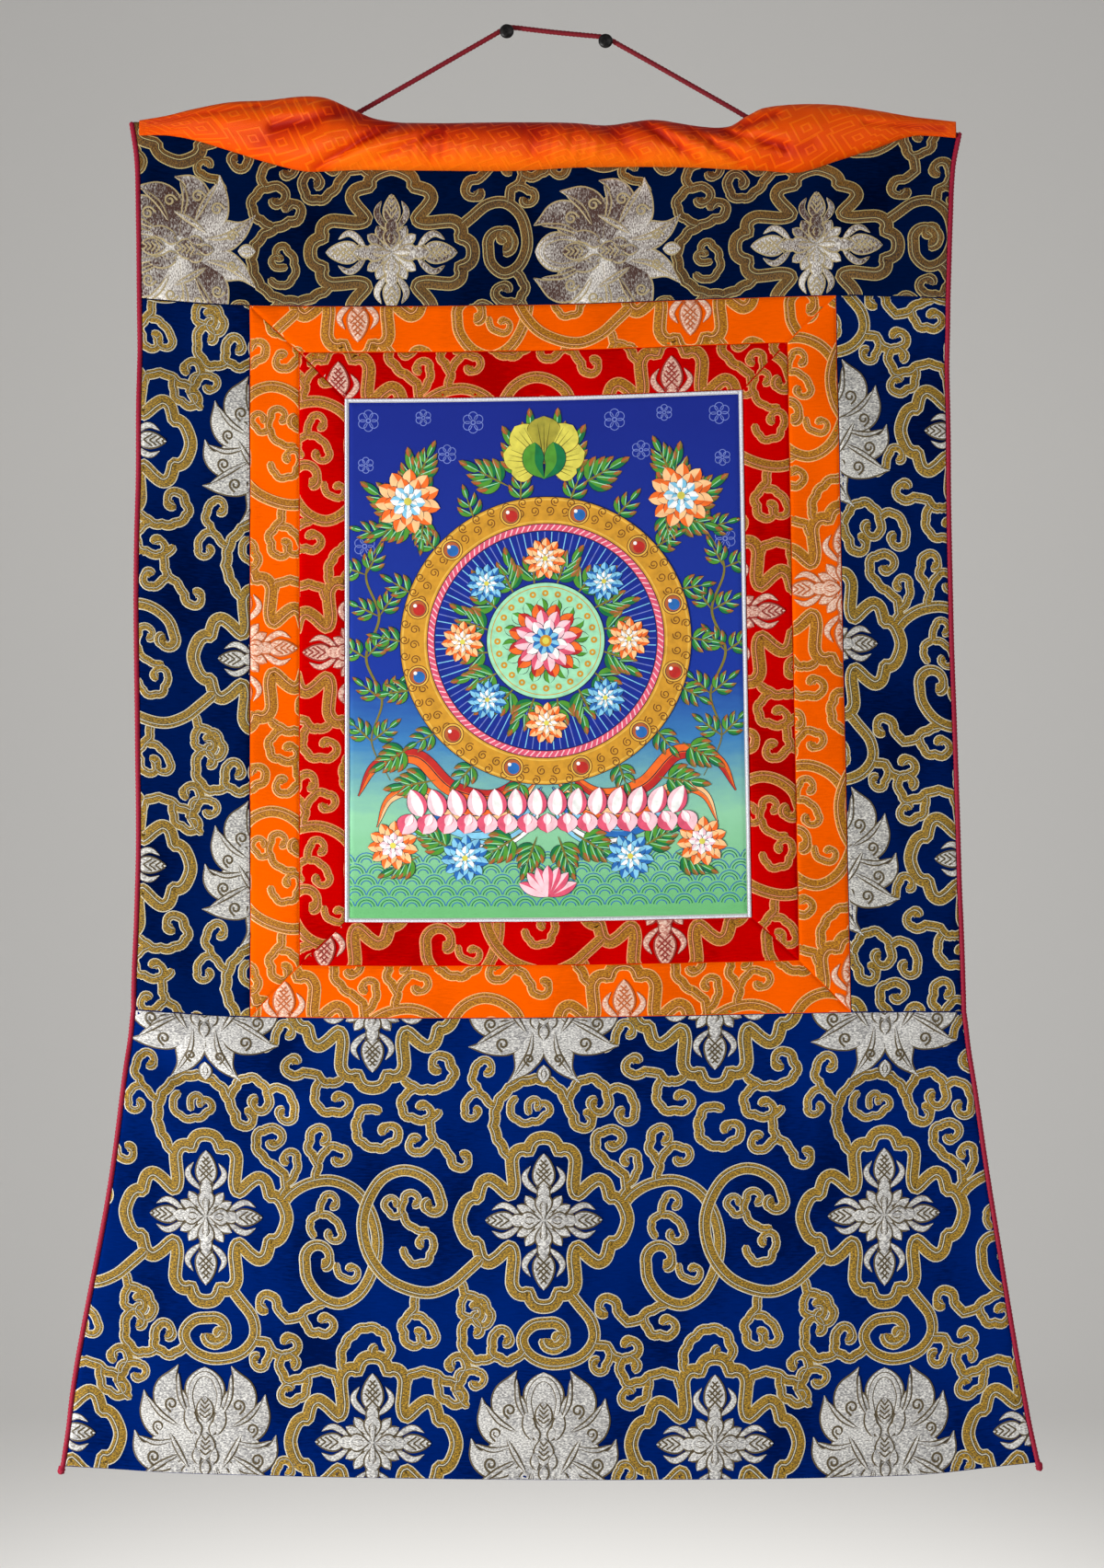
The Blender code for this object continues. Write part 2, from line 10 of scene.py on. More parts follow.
import bmesh
import bpy
import numpy as np
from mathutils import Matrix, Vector

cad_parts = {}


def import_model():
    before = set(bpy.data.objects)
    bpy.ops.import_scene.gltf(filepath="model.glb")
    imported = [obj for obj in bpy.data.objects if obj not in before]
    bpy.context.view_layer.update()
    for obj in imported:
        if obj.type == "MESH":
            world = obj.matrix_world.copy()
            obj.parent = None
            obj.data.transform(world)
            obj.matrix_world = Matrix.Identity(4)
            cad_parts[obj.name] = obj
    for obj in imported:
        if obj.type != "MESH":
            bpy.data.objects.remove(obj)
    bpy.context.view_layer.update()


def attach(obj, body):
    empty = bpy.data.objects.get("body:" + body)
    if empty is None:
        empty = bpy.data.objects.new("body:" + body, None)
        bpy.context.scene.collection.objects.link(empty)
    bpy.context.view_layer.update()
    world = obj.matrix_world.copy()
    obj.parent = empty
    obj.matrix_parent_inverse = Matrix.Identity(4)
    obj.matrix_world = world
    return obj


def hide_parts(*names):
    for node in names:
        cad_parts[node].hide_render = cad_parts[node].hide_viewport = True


MM = 0.001

# Sizes of the pieces as cut, in millimetres
PAINTING_WIDTH = 297.8
PAINTING_HEIGHT = 395.6
EDGING_DIAMETER = 2.6
RED_SIDE_STRIP = 35.0
RED_TOP_STRIP = 35.3
RED_BOTTOM_STRIP = 33.5
ORANGE_SIDE_STRIP = 37.8
ORANGE_TOP_STRIP = 35.0
ORANGE_BOTTOM_STRIP = 40.0
SIDE_PANEL_WIDTH = 85.3
TOP_PANEL_HEIGHT = 135.0
BOTTOM_PANEL_HEIGHT = 351.3
BOTTOM_FLARE = 56.0
BROCADE_THICKNESS = 2.0
CANVAS_THICKNESS = 1.2
PIPING_DIAMETER = 4.0
CORD_DIAMETER = 4.0
CORD_LAY = 9.0
CORD_END_ROUND = 1.6
EDGING_LAY = 5.0
STRAND_DEPTH = 0.2
SEAM_GAP = 0.3

# Where the scroll hangs
SCROLL_CENTRE_X = -10.3
SCROLL_TOP_Z = -68.2
TOP_OFF_WALL = 7.5
BOTTOM_OFF_WALL = 4.2
STRAIGHT_TOP = 40.0
RIGHT_SIDE_LEAN = 12.0

# Lines of the plan, worked out from the sizes
EDGED_WIDTH = PAINTING_WIDTH + 2 * (EDGING_DIAMETER + 2 * SEAM_GAP)
EDGED_HEIGHT = PAINTING_HEIGHT + 2 * (EDGING_DIAMETER + 2 * SEAM_GAP)
RED_HALF_WIDTH = EDGED_WIDTH / 2 + RED_SIDE_STRIP
FRAME_HALF_WIDTH = RED_HALF_WIDTH + ORANGE_SIDE_STRIP
CLOTH_HALF_WIDTH = FRAME_HALF_WIDTH + SIDE_PANEL_WIDTH
BOTTOM_HALF_WIDTH = CLOTH_HALF_WIDTH + BOTTOM_FLARE
UPPER_SEAM_Z = SCROLL_TOP_Z - TOP_PANEL_HEIGHT
RED_TOP_Z = UPPER_SEAM_Z - ORANGE_TOP_STRIP
EDGED_TOP_Z = RED_TOP_Z - RED_TOP_STRIP
EDGED_BOTTOM_Z = EDGED_TOP_Z - EDGED_HEIGHT
RED_BOTTOM_Z = EDGED_BOTTOM_Z - RED_BOTTOM_STRIP
LOWER_SEAM_Z = RED_BOTTOM_Z - ORANGE_BOTTOM_STRIP
HEM_Z = LOWER_SEAM_Z - BOTTOM_PANEL_HEIGHT

# How far each side edge hangs outside its straight line
EDGE_WANDER = np.array([
    # height, left, right
    (-1100, 0.0, -0.5),
    (-1025, 2.2, -2.6),
    (-885, -1.3, -2.8),
    (-745, 2.2, -0.7),
    (-620, -1.5, -1.9),
    (-430, 0.3, -3.8),
    (-300, -2.0, -3.3),
    (-200, -2.5, -1.0),
    (-100, -0.5, 2.8),
    (-64, 4.5, 9.0),
])

# How far each level line hangs above its straight line
LEVEL_WANDER = np.array([
    # height, left edge, left of frame, centre, right of frame, right edge
    (-1100.3, 5.0, -1.4, -6.0, -2.8, 7.8),
    (-749.0, 3.5, -2.1, -2.8, 1.4, 2.1),
    (-203.2, 2.8, -2.1, -1.1, 5.7, 3.5),
    (-68.2, 4.0, 3.0, 0.0, -2.0, -4.0),
])
LEVEL_STATIONS = np.array([-1.0, -0.73, 0.0, 0.73, 1.0])

# Soft folds of the hung cloth, straight ridges and troughs
CLOTH_FOLDS = [
    # from x, from z, to x, to z, half width, height
    (-321, -772, -226, -823, 12, -4.4),
    (-226, -823, -137, -865, 16, -2.2),
    (-137, -865, -46, -862, 18, -1.4),
    (-305, -757, -190, -810, 14, 2.4),
    (301, -779, 212, -839, 14, -3.8),
    (285, -758, 190, -815, 15, 2.2),
    (-279, -956, -88, -1020, 20, -1.8),
    (120, -985, 300, -940, 24, 1.8),
    (-20, -905, 10, -1040, 40, 2.0),
    (-318, -242, -240, -238, 14, -2.2),
    (-318, -290, -240, -285, 18, 1.6),
    (-318, -345, -240, -340, 18, -1.5),
    (-318, -560, -240, -556, 26, 1.4),
    (-318, -690, -240, -680, 16, -1.6),
    (222, -250, 300, -254, 14, -2.4),
    (222, -310, 300, -315, 20, 1.5),
    (222, -480, 305, -470, 24, -1.2),
    (222, -640, 305, -650, 20, -1.5),
    (-255, -118, -250, -185, 28, 1.5),
    (25, -118, 15, -185, 34, -1.4),
    (225, -118, 235, -185, 28, 1.3),
]
FOLD_DEPTH = 1.5
SIDE_CURL = 3.0
SIDE_CURL_WIDTH = 30.0
HEM_TROUGH = 2.2
HEM_TROUGH_ABOVE = 30.0
HEM_TROUGH_HALF_WIDTH = 13.0
HEM_FLICK = 3.0
WALL_SOFTNESS = 1.2
HEM_FLICK_HEIGHT = 14.0
HEM_GROOVE_ABOVE = 7.5
HEM_GROOVE = 0.5
HEM_GROOVE_WIDTH = 1.3
LEANS_BACK_OVER = 450.0
LOOSENS_OVER = 30.0

# How a cloth's front rolls off into its seams, puckers beside them and ripples
CLOTH_STEP = 4.0
SEAM_ROLL = 0.9
SEAM_ROLL_WIDTH = 1.5
SEAM_PUCKER = 0.16
SEAM_PUCKER_WIDTH = 6.0
RIPPLE = 0.20
WEAVING_OFF_CLOTH = 0.05
WEAVING_OFF_SEAM = 0.5
SHARP_ANGLE = math.radians(50)

# The gathered dust cover: sections across it, from its left end to its right end
COVER_SECTIONS = np.array([
    # x, top z, bottom z, belly in front of its back
    (-319.6, -63.5, -75.0, 3.0),
    (-299.0, -60.0, -75.0, 5.0),
    (-278.5, -55.0, -78.4, 8.0),
    (-250.0, -49.7, -86.9, 11.5),
    (-222.0, -48.3, -95.7, 14.0),
    (-194.0, -45.3, -102.4, 16.0),
    (-176.0, -46.7, -102.6, 17.5),
    (-156.0, -55.4, -101.7, 17.0),
    (-137.0, -63.0, -101.6, 18.0),
    (-109.0, -65.8, -101.9, 19.0),
    (-30.0, -65.3, -102.1, 20.0),
    (11.0, -65.8, -99.8, 20.5),
    (39.0, -67.6, -99.3, 19.5),
    (74.0, -63.5, -99.1, 19.0),
    (110.0, -68.4, -99.8, 18.0),
    (132.0, -68.6, -101.0, 17.5),
    (145.7, -60.7, -101.6, 17.5),
    (159.0, -54.3, -102.1, 18.0),
    (187.0, -51.3, -103.3, 17.5),
    (215.8, -52.0, -94.5, 14.5),
    (244.3, -55.9, -85.3, 11.0),
    (272.6, -60.7, -75.7, 7.0),
    (292.0, -63.0, -75.7, 4.5),
    (306.5, -64.6, -77.0, 3.0),
])
COVER_BACK_GAP = 0.4
COVER_EDGE_THICKNESS = 1.2

# Creases and ridges on the front of the cover
COVER_FOLDS = [
    # from x, from z, to x, to z, half width, height
    (-184, -102, -116, -64, 3.0, -4.5),
    (-172, -105, -100, -70, 6.0, 3.0),
    (-160, -104, -92, -76, 2.5, -2.0),
    (-150, -103, -120, -90, 2.0, -1.2),
    (-216, -70, -166, -61, 4.0, -3.0),
    (-226, -82, -186, -72, 6.0, -1.4),
    (-200, -96, -160, -74, 9.0, 2.0),
    (-250, -66, -190, -59, 5.0, 1.4),
    (-311, -65, -229, -54, 2.0, -1.5),
    (-229, -54, -188, -50, 2.0, -1.3),
    (-176, -52, -150, -62, 3.0, -2.2),
    (60, -64, 116, -102, 3.0, -3.0),
    (76, -64, 132, -102, 6.0, 2.4),
    (90, -67, 140, -96, 3.0, -3.0),
    (102, -70, 156, -96, 4.0, 1.8),
    (112, -70, 174, -87, 3.0, -3.0),
    (128, -68, 150, -82, 3.0, 1.8),
    (143, -70, 168, -61, 3.0, -3.5),
    (152, -74, 196, -70, 6.0, 1.6),
    (160, -100, 196, -84, 5.0, -1.2),
    (236, -67, 296, -71, 2.0, -1.5),
    (200, -60, 250, -64, 6.0, 1.2),
    (36, -66, 62, -96, 4.0, -1.6),
    (18, -65, 34, -98, 5.0, 1.4),
    (-88, -64, -96, -102, 6.0, -1.4),
    (-60, -64, -66, -102, 7.0, 1.2),
    (-20, -64, -14, -102, 7.0, -1.4),
    (0, -64, 10, -102, 5.0, 1.0),
]

# Nails
NAIL_X = 37.8
NAIL_RISE = 3.7
NAIL_SHANK_RADIUS = 1.25
NAIL_LENGTH = 15.0
NAIL_HEAD_RADIUS = 5.5
NAIL_HEAD_DOME = 3.0
NAIL_SIDES = 32
NAIL_FILLET = 0.4

# Hanging cord: its route over the nails, ending behind the top panel
CORD_ROUTE = [
    # x, off the wall, z
    (-189.0, 5.2, -75.6),
    (-175.0, 5.2, -68.4),
    (-160.0, 5.2, -60.6),
    (-147.0, 5.6, -53.5),
    (-118.0, 6.8, -37.2),
    (-88.0, 8.2, -20.4),
    (-62.0, 9.6, -5.9),
    (-47.0, 10.6, 2.5),
    (-42.0, 10.8, 5.4),
    (-37.8, 10.8, 7.5),
    (-33.0, 10.8, 7.7),
    (-20.0, 10.8, 6.2),
    (0.0, 10.8, 3.9),
    (20.0, 10.8, 2.0),
    (33.0, 10.8, 0.8),
    (37.8, 10.8, 0.1),
    (42.0, 10.8, -1.9),
    (47.0, 10.6, -4.7),
    (75.0, 9.2, -20.0),
    (105.0, 7.6, -36.6),
    (133.0, 6.2, -52.1),
    (148.0, 5.3, -60.6),
    (160.0, 5.2, -67.4),
    (180.0, 5.2, -78.6),
]

# The brocade's repeat
CELL_WIDTH = 255.0
CELL_HEIGHT = 326.0
LOWER_STRETCH = 1.05
PATTERN_STEP = 1.9
LOBE_LENGTH = 11.0
LOBE_DEPTH = 1.5
HOOK_LOBE_LOSS = 0.75
MEDALLION_WIDTH = 10.5
RELIEF = 0.35
OUTLINE = 0.75
PETAL_OUTLINE = 1.25
PETAL_STEP = 2.0
FINE_LINE_WIDTH = 1.2
SPIRAL_WIDTH = 1.5


def smooth(t):
    """0 to 1 with no corner at either end."""
    t = np.clip(t, 0, 1)
    return t * t * (3 - 2 * t)


def table_value(keys, values, at):
    """A smooth curve through values at rising keys, for an array of places.

    The values may have a row for each place.
    """
    keys = np.asarray(keys, float)
    values = np.broadcast_to(values, (len(at), len(keys)))
    slopes = np.empty(values.shape)
    slopes[:, 1:-1] = (values[:, 2:] - values[:, :-2]) / (keys[2:] - keys[:-2])
    slopes[:, 0] = (values[:, 1] - values[:, 0]) / (keys[1] - keys[0])
    slopes[:, -1] = (values[:, -1] - values[:, -2]) / (keys[-1] - keys[-2])
    i = np.clip(np.searchsorted(keys, at, side="right") - 1, 0, len(keys) - 2)
    row = np.arange(len(at))
    span = keys[i + 1] - keys[i]
    t = np.clip((at - keys[i]) / span, 0, 1)
    return (
        values[row, i] * (1 + 2 * t) * (1 - t) ** 2
        + slopes[row, i] * span * t * (1 - t) ** 2
        + values[row, i + 1] * t * t * (3 - 2 * t)
        + slopes[row, i + 1] * span * t * t * (t - 1)
    )


def half_width_at(z):
    """Half the width of the cut cloth at each height."""
    return CLOTH_HALF_WIDTH + BOTTOM_FLARE * np.maximum(0, (LOWER_SEAM_Z - z) / BOTTOM_PANEL_HEIGHT)


def fold_height(folds, x, z):
    """Height of a set of soft straight folds at each point."""
    total = np.zeros(len(x))
    for x0, z0, x1, z1, half_width, height in folds:
        length = math.hypot(x1 - x0, z1 - z0)
        run = np.array([x1 - x0, z1 - z0]) / length
        along = (x - x0) * run[0] + (z - z0) * run[1]
        across = (x - x0) * run[1] - (z - z0) * run[0]
        past_end = np.maximum(0, np.maximum(-along, along - length))
        total += height * np.exp(-(across**2 + past_end**2) / (2 * half_width**2))
    return total


def hung_place(x, z):
    """Where points of the plan hang: (x, z) with the wander of edges and level lines."""
    left = table_value(EDGE_WANDER[:, 0], EDGE_WANDER[:, 1], z)
    right = table_value(EDGE_WANDER[:, 0], EDGE_WANDER[:, 2], z)
    half = half_width_at(z)
    outer_share = np.clip((np.abs(x) - FRAME_HALF_WIDTH) / (half - FRAME_HALF_WIDTH), 0, 1)
    moved_x = x + np.where(x > 0, right, -left) * outer_share
    down = np.clip((UPPER_SEAM_Z - z) / (UPPER_SEAM_Z - LOWER_SEAM_Z), 0, 1)
    rightward = np.clip((x + EDGED_WIDTH / 2) / (FRAME_HALF_WIDTH + EDGED_WIDTH / 2), 0, 1)
    moved_x = moved_x + RIGHT_SIDE_LEAN * down * rightward
    levels = [table_value(LEVEL_STATIONS, row[1:], x / half) for row in LEVEL_WANDER]
    moved_z = z + table_value(LEVEL_WANDER[:, 0], np.stack(levels, axis=1), z)
    return SCROLL_CENTRE_X + moved_x, moved_z


def back_off_wall(x, z):
    """How far the cloth's back hangs in front of the wall at points of the plan."""
    below_top = SCROLL_TOP_Z - STRAIGHT_TOP - z
    depth = TOP_OFF_WALL + (BOTTOM_OFF_WALL - TOP_OFF_WALL) * smooth(below_top / LEANS_BACK_OVER)
    loose = smooth(below_top / LOOSENS_OVER)
    depth = depth + FOLD_DEPTH * fold_height(CLOTH_FOLDS, x + SCROLL_CENTRE_X, z) * loose
    from_side = np.maximum(0, half_width_at(z) - np.abs(x))
    depth = depth + SIDE_CURL * np.exp(-((from_side / SIDE_CURL_WIDTH) ** 2)) * loose
    above_hem = z - HEM_Z
    depth = depth + HEM_FLICK * np.exp(-((above_hem / HEM_FLICK_HEIGHT) ** 2))
    from_trough = (above_hem - HEM_TROUGH_ABOVE) / HEM_TROUGH_HALF_WIDTH
    depth = depth - HEM_TROUGH * np.exp(-(from_trough**2))
    return (depth + np.sqrt(depth**2 + WALL_SOFTNESS**2)) / 2


def hung_points(x, z, in_front):
    """Hung places in metres of plan points, that far in front of the cloth's back."""
    place_x, place_z = hung_place(x, z)
    return np.stack([place_x, -back_off_wall(x, z) - in_front, place_z], axis=1) * MM


class Panel:
    """A cloth of the cut plan. Its corners run from top left round to bottom left."""

    def __init__(self, name, corners, thickness=BROCADE_THICKNESS, in_front=0.0):
        self.name = name
        self.corners = np.array(corners, float)
        self.thickness = thickness
        self.in_front = in_front
        self.runs = np.roll(self.corners, -1, axis=0) - self.corners
        self.lengths = np.linalg.norm(self.runs, axis=1)
        self.runs /= self.lengths[:, None]
        self.inward = np.stack([self.runs[:, 1], -self.runs[:, 0]], axis=1)

    def flat(self):
        """The width and height of the rectangle that it is cut from, in metres."""
        low, high = self.corners.min(axis=0), self.corners.max(axis=0)
        return tuple((high - low) * MM)

    def from_edge(self, x, z):
        """Distance of points from the nearest edge, and their distance along that edge."""
        away = np.stack([(x - c[0]) * n[0] + (z - c[1]) * n[1] for c, n in zip(self.corners, self.inward)])
        along = np.stack([(x - c[0]) * r[0] + (z - c[1]) * r[1] for c, r in zip(self.corners, self.runs)])
        nearest = away.argmin(axis=0)
        row = np.arange(len(x))
        return away[nearest, row], along[nearest, row]

    def front(self, x, z, lift=0.0):
        """Hung points on the front, where the cloth rolls off into its seams and puckers there."""
        away, along = self.from_edge(x, z)
        away = np.maximum(0, away)
        height = self.in_front + self.thickness + lift
        height = height - SEAM_ROLL * np.exp(-((away / SEAM_ROLL_WIDTH) ** 2))
        pucker = np.sin(along * 0.71) + 0.6 * np.sin(along * 0.43 + 1.0)
        height = height + SEAM_PUCKER * pucker * np.exp(-((away / SEAM_PUCKER_WIDTH) ** 2)) * smooth(away / 2)
        if self.name == "bottom_panel":
            from_groove = (z - HEM_Z - HEM_GROOVE_ABOVE) / HEM_GROOVE_WIDTH
            height = height - HEM_GROOVE * np.exp(-(from_groove**2))
        height = height + RIPPLE * np.sin(x * 0.083 + z * 0.031) * np.sin(z * 0.067 - x * 0.024 + 1.3)
        return hung_points(x, z, height)


def grid_stops(length, step):
    """Shares along a side for a grid that is finer beside its two ends."""
    margins = [m for m in (0.0, 0.7, 1.5, 2.6, 4.2) if m < length / 3]
    count = max(1, round((length - 2 * margins[-1]) / step))
    middle = np.linspace(margins[-1], length - margins[-1], count + 1)[1:-1]
    stops = [*margins, *middle, *[length - m for m in reversed(margins)]]
    return np.array(stops) / length


def grid_faces(rows, columns, closed=False):
    """Four-sided faces of a grid of points, row by row. Closed rows join their last point to their first."""
    index = np.arange(rows * columns).reshape(rows, columns)
    if closed:
        index = np.concatenate([index, index[:, :1]], axis=1)
    corners = [index[:-1, :-1], index[1:, :-1], index[1:, 1:], index[:-1, 1:]]
    return np.stack(corners, axis=2).reshape(-1, 4)


# The corners of a face in the order that turns it over
TURNED_OVER = [0, 3, 2, 1]


def make_mesh(name, points, quads, material_indices=None, attributes=()):
    """A mesh of four-sided faces from points in metres, with named vectors at its points."""
    mesh = bpy.data.meshes.new(name)
    mesh.vertices.add(len(points))
    mesh.vertices.foreach_set("co", np.asarray(points, np.float32).ravel())
    mesh.loops.add(len(quads) * 4)
    mesh.loops.foreach_set("vertex_index", np.asarray(quads, np.int32).ravel())
    mesh.polygons.add(len(quads))
    mesh.polygons.foreach_set("loop_start", np.arange(len(quads), dtype=np.int32) * 4)
    if material_indices is not None:
        mesh.polygons.foreach_set("material_index", np.asarray(material_indices, np.int32))
    mesh.update(calc_edges=True)
    for label, values in attributes:
        made = mesh.attributes.new(label, "FLOAT_VECTOR", "POINT")
        made.data.foreach_set("vector", np.asarray(values, np.float32).ravel())
    mesh.shade_smooth()
    return mesh


def add_piece(name, data, materials, replaced=()):
    """Puts a piece of the scroll into the scene."""
    for one in materials:
        data.materials.append(one)
    piece = bpy.data.objects.new(name, data)
    bpy.context.scene.collection.objects.link(piece)
    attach(piece, "root")
    if replaced:
        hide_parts(*replaced)
    return piece


def cloth_sheet(panel, materials):
    """The fine sheet of a panel, with a front, a back and a rim."""
    top_left, top_right, bottom_right, bottom_left = panel.corners
    top, right, bottom, left = panel.lengths
    u = grid_stops(max(top, bottom), CLOTH_STEP)
    v = grid_stops(max(left, right), CLOTH_STEP)
    across, down = np.meshgrid(u, v)
    across, down = across.ravel()[:, None], down.ravel()[:, None]
    plan = (top_left * (1 - across) + top_right * across) * (1 - down)
    plan = plan + (bottom_left * (1 - across) + bottom_right * across) * down
    x, z = plan[:, 0], plan[:, 1]
    front = panel.front(x, z)
    back = hung_points(x, z, np.full(len(x), panel.in_front))
    columns, rows = len(u), len(v)
    index = np.arange(columns * rows).reshape(rows, columns)
    front_faces = grid_faces(rows, columns)
    back_faces = front_faces[:, ::-1] + len(x)
    rim = np.concatenate([index[0, :-1], index[:-1, -1], index[-1, :0:-1], index[:0:-1, 0]])
    rim_next = np.roll(rim, -1)
    rim_faces = np.stack([rim, rim_next, rim_next + len(x), rim + len(x)], axis=1)
    faces = np.concatenate([front_faces, back_faces, rim_faces])
    chosen = np.zeros(len(faces), int)
    chosen[len(front_faces) : len(front_faces) * 2] = 1
    weave = np.tile(np.stack([x, z, np.zeros(len(x))], axis=1), (2, 1))
    mesh = make_mesh(panel.name, np.concatenate([front, back]), faces, chosen, [("weave", weave)])
    mesh.set_sharp_from_angle(angle=SHARP_ANGLE)
    return add_piece(f"{panel.name}_cloth", mesh, materials, [panel.name])


# Drawing in the plane: smooth lines, curls and ribbons


class Layer:
    """Flat shapes in the plane. A point is (across, up, lift), and a mark is (along, across, tarnish and
    shade).
    """

    def __init__(self):
        self.tarnish_and_shade = 0.0
        self.points = []
        self.marks = []
        self.faces = []
        self.materials = []
        self.count = 0

    def add(self, points, marks, faces, materials):
        """Adds a shape's points and faces, with the material number of each face."""
        self.points.append(points)
        self.marks.append(marks)
        self.faces.append(faces + self.count)
        self.materials.append(materials)
        self.count += len(points)

    def arrays(self):
        """All the shapes as single arrays."""
        return (
            np.concatenate(self.points),
            np.concatenate(self.marks),
            np.concatenate(self.faces),
            np.concatenate(self.materials),
        )


SPLINE_STEPS = 12


def distance_along(line):
    """How far along the line each of its points is."""
    return np.concatenate([[0], np.cumsum(np.linalg.norm(np.diff(line, axis=0), axis=1))])


def line_through(points, step, closed=False):
    """A smooth line through points, with points about a step apart."""
    p = np.array(points, float)
    before, after = (p[-1:], p[:2]) if closed else (2 * p[:1] - p[1:2], 2 * p[-1:] - p[-2:-1])
    padded = np.concatenate([before, p, after])
    t = np.linspace(0, 1, SPLINE_STEPS, endpoint=False)[:, None]
    fine = []
    for a, b, c, d in zip(padded, padded[1:], padded[2:], padded[3:]):
        cubic = (2 * b) + (c - a) * t + (2 * a - 5 * b + 4 * c - d) * t**2 + (3 * b - a - 3 * c + d) * t**3
        fine.append(cubic / 2)
    fine.append(padded[-2:-1])
    return spaced(np.concatenate(fine), step)


def spaced(line, step):
    """The same line with its points evenly about a step apart."""
    reached = distance_along(line)
    at = np.linspace(0, reached[-1], max(3, round(reached[-1] / step) + 1))
    return np.stack([np.interp(at, reached, line[:, axis]) for axis in range(line.shape[1])], axis=1)


def curled(line, side, size, step, turns=0.74, tightness=0.38):
    """The line with a hook added at its end that tightens to one side: 1 for left, -1 for right."""
    run = line[-1] - line[-2]
    heading = math.atan2(run[1], run[0])
    count = max(8, int(turns * math.tau * size * 0.8 / step))
    turn = turns * math.tau / count
    place, added = line[-1].copy(), []
    for i in range(count):
        radius = size * (1 - tightness * (i + 0.5) / count)
        heading += side * turn
        place = place + radius * turn * np.array([math.cos(heading), math.sin(heading)])
        added.append(place)
    return np.concatenate([line, added])


def lobed(line, side, depth, length):
    """The line with cloud lobes that swell to one side."""
    reached = distance_along(line)
    count = max(1, round(reached[-1] / length))
    swell = np.abs(np.sin(np.pi * count * reached / reached[-1])) ** 0.7
    return line + normals_of(line, False) * (side * depth * (swell - 0.5))[:, None]


def normals_of(line, closed):
    """The unit vector to the left of the line at each point."""
    if closed:
        run = np.roll(line[:-1], -1, axis=0) - np.roll(line[:-1], 1, axis=0)
        run = np.concatenate([run, run[:1]])
    else:
        run = np.gradient(line, axis=0)
    run = run / np.maximum(1e-9, np.linalg.norm(run, axis=1))[:, None]
    return np.stack([-run[:, 1], run[:, 0]], axis=1)


def ribbon(layer, line, widths, profile, lift, relief=RELIEF, closed=False, outline=OUTLINE):
    """A raised ribbon along a line.

    The profile has (share across, material) for each of its lanes, left to right.
    """
    widths = np.broadcast_to(np.asarray(widths, float), (len(line),))
    half = widths[:, None] / 2
    inner = np.maximum(half - outline, half * 0.45)
    shares = np.array([share for share, material in profile[1:]])
    offsets = np.concatenate([-half, shares * inner, half], axis=1)
    rise = relief * (1 - (offsets / half) ** 4)
    sides = normals_of(line, closed)
    lanes = offsets.shape[1]
    points = line[:, None, :] + sides[:, None, :] * offsets[:, :, None]
    points = np.concatenate([points, (lift + rise)[:, :, None]], axis=2).reshape(-1, 3)
    along = np.linspace(0, 1, len(line))[:, None] * np.ones(lanes)
    marks = np.stack([along.ravel(), (offsets / half).ravel(), np.full(along.size, layer.tarnish_and_shade)], axis=1)
    faces = np.roll(grid_faces(len(line), lanes), -1, axis=1)
    materials = np.tile([material for share, material in profile], len(line) - 1)
    layer.add(points, marks, faces, materials)


# A scroll's end, as shares of its width, and the least width in millimetres
HOOK_SLIMMING = 0.24
BULB_RADIUS = 0.62
BULB_SWELL = 1.22
LEAST_WIDTH = 0.3


def scroll_widths(line, width, curl_start):
    """Widths of a scroll: round at its start, slimmer into the hook, then a round bulb at its end."""
    reached = distance_along(line)
    length = reached[-1]
    taper = 1 - HOOK_SLIMMING * smooth((reached - curl_start) / max(1e-6, length - curl_start))
    taper = taper * np.sqrt(np.clip(1 - (1 - np.minimum(1, (reached + 0.4) / (width * 0.5))) ** 2, 0, 1))
    bulb_radius = width * BULB_RADIUS
    from_end = length - reached
    bulb = np.sqrt(np.clip(1 - (from_end / bulb_radius - 1) ** 2, 0, 1)) * BULB_SWELL
    shape = np.where(from_end < bulb_radius, bulb, np.maximum(taper, bulb))
    return np.maximum(LEAST_WIDTH, width * shape)


# The brocade's repeat, with its cross medallion at the middle and its lotus half a repeat above

# Lanes of a woven ribbon: share of its inside, and the material from there on
EDGE_THREAD, BODY, DARK, SILVER, SILVER_LINE = range(5)
SCROLL_LANES = [
    (-1.0, EDGE_THREAD),
    (-1.0, BODY),
    (0.16, DARK),
    (0.30, EDGE_THREAD),
    (0.46, DARK),
    (0.60, BODY),
    (1.0, EDGE_THREAD),
]
PETAL_LANES = [(-1.0, SILVER_LINE), (-1.0, SILVER), (0.0, SILVER), (1.0, SILVER_LINE)]
LINE_LANES = [(-1.0, SILVER_LINE), (1.0, SILVER_LINE)]

MEDALLION_LANES = [
    (-1.0, EDGE_THREAD),
    (-1.0, BODY),
    (-0.60, DARK),
    (-0.46, EDGE_THREAD),
    (-0.30, DARK),
    (-0.16, BODY),
    (1.0, EDGE_THREAD),
]

# A quarter of the medallion's middle line, from its top round to its right side
MEDALLION_QUARTER = [
    (0, 62.5), (6.4, 61.0), (10.0, 56.4), (10.7, 53.2), (11.6, 52.4), (15.0, 53.6), (20.0, 52.2),
    (23.4, 46.5), (23.2, 38.0), (22.2, 28.0), (23.2, 21.6), (25.2, 19.4), (26.8, 20.2), (30.0, 23.0),
    (34.5, 27.2), (40.5, 30.6), (45.8, 28.0), (48.2, 21.5), (49.0, 17.6), (50.2, 16.4), (53.6, 16.6),
    (58.6, 12.0),
]
MEDALLION_SIDE = 62.4

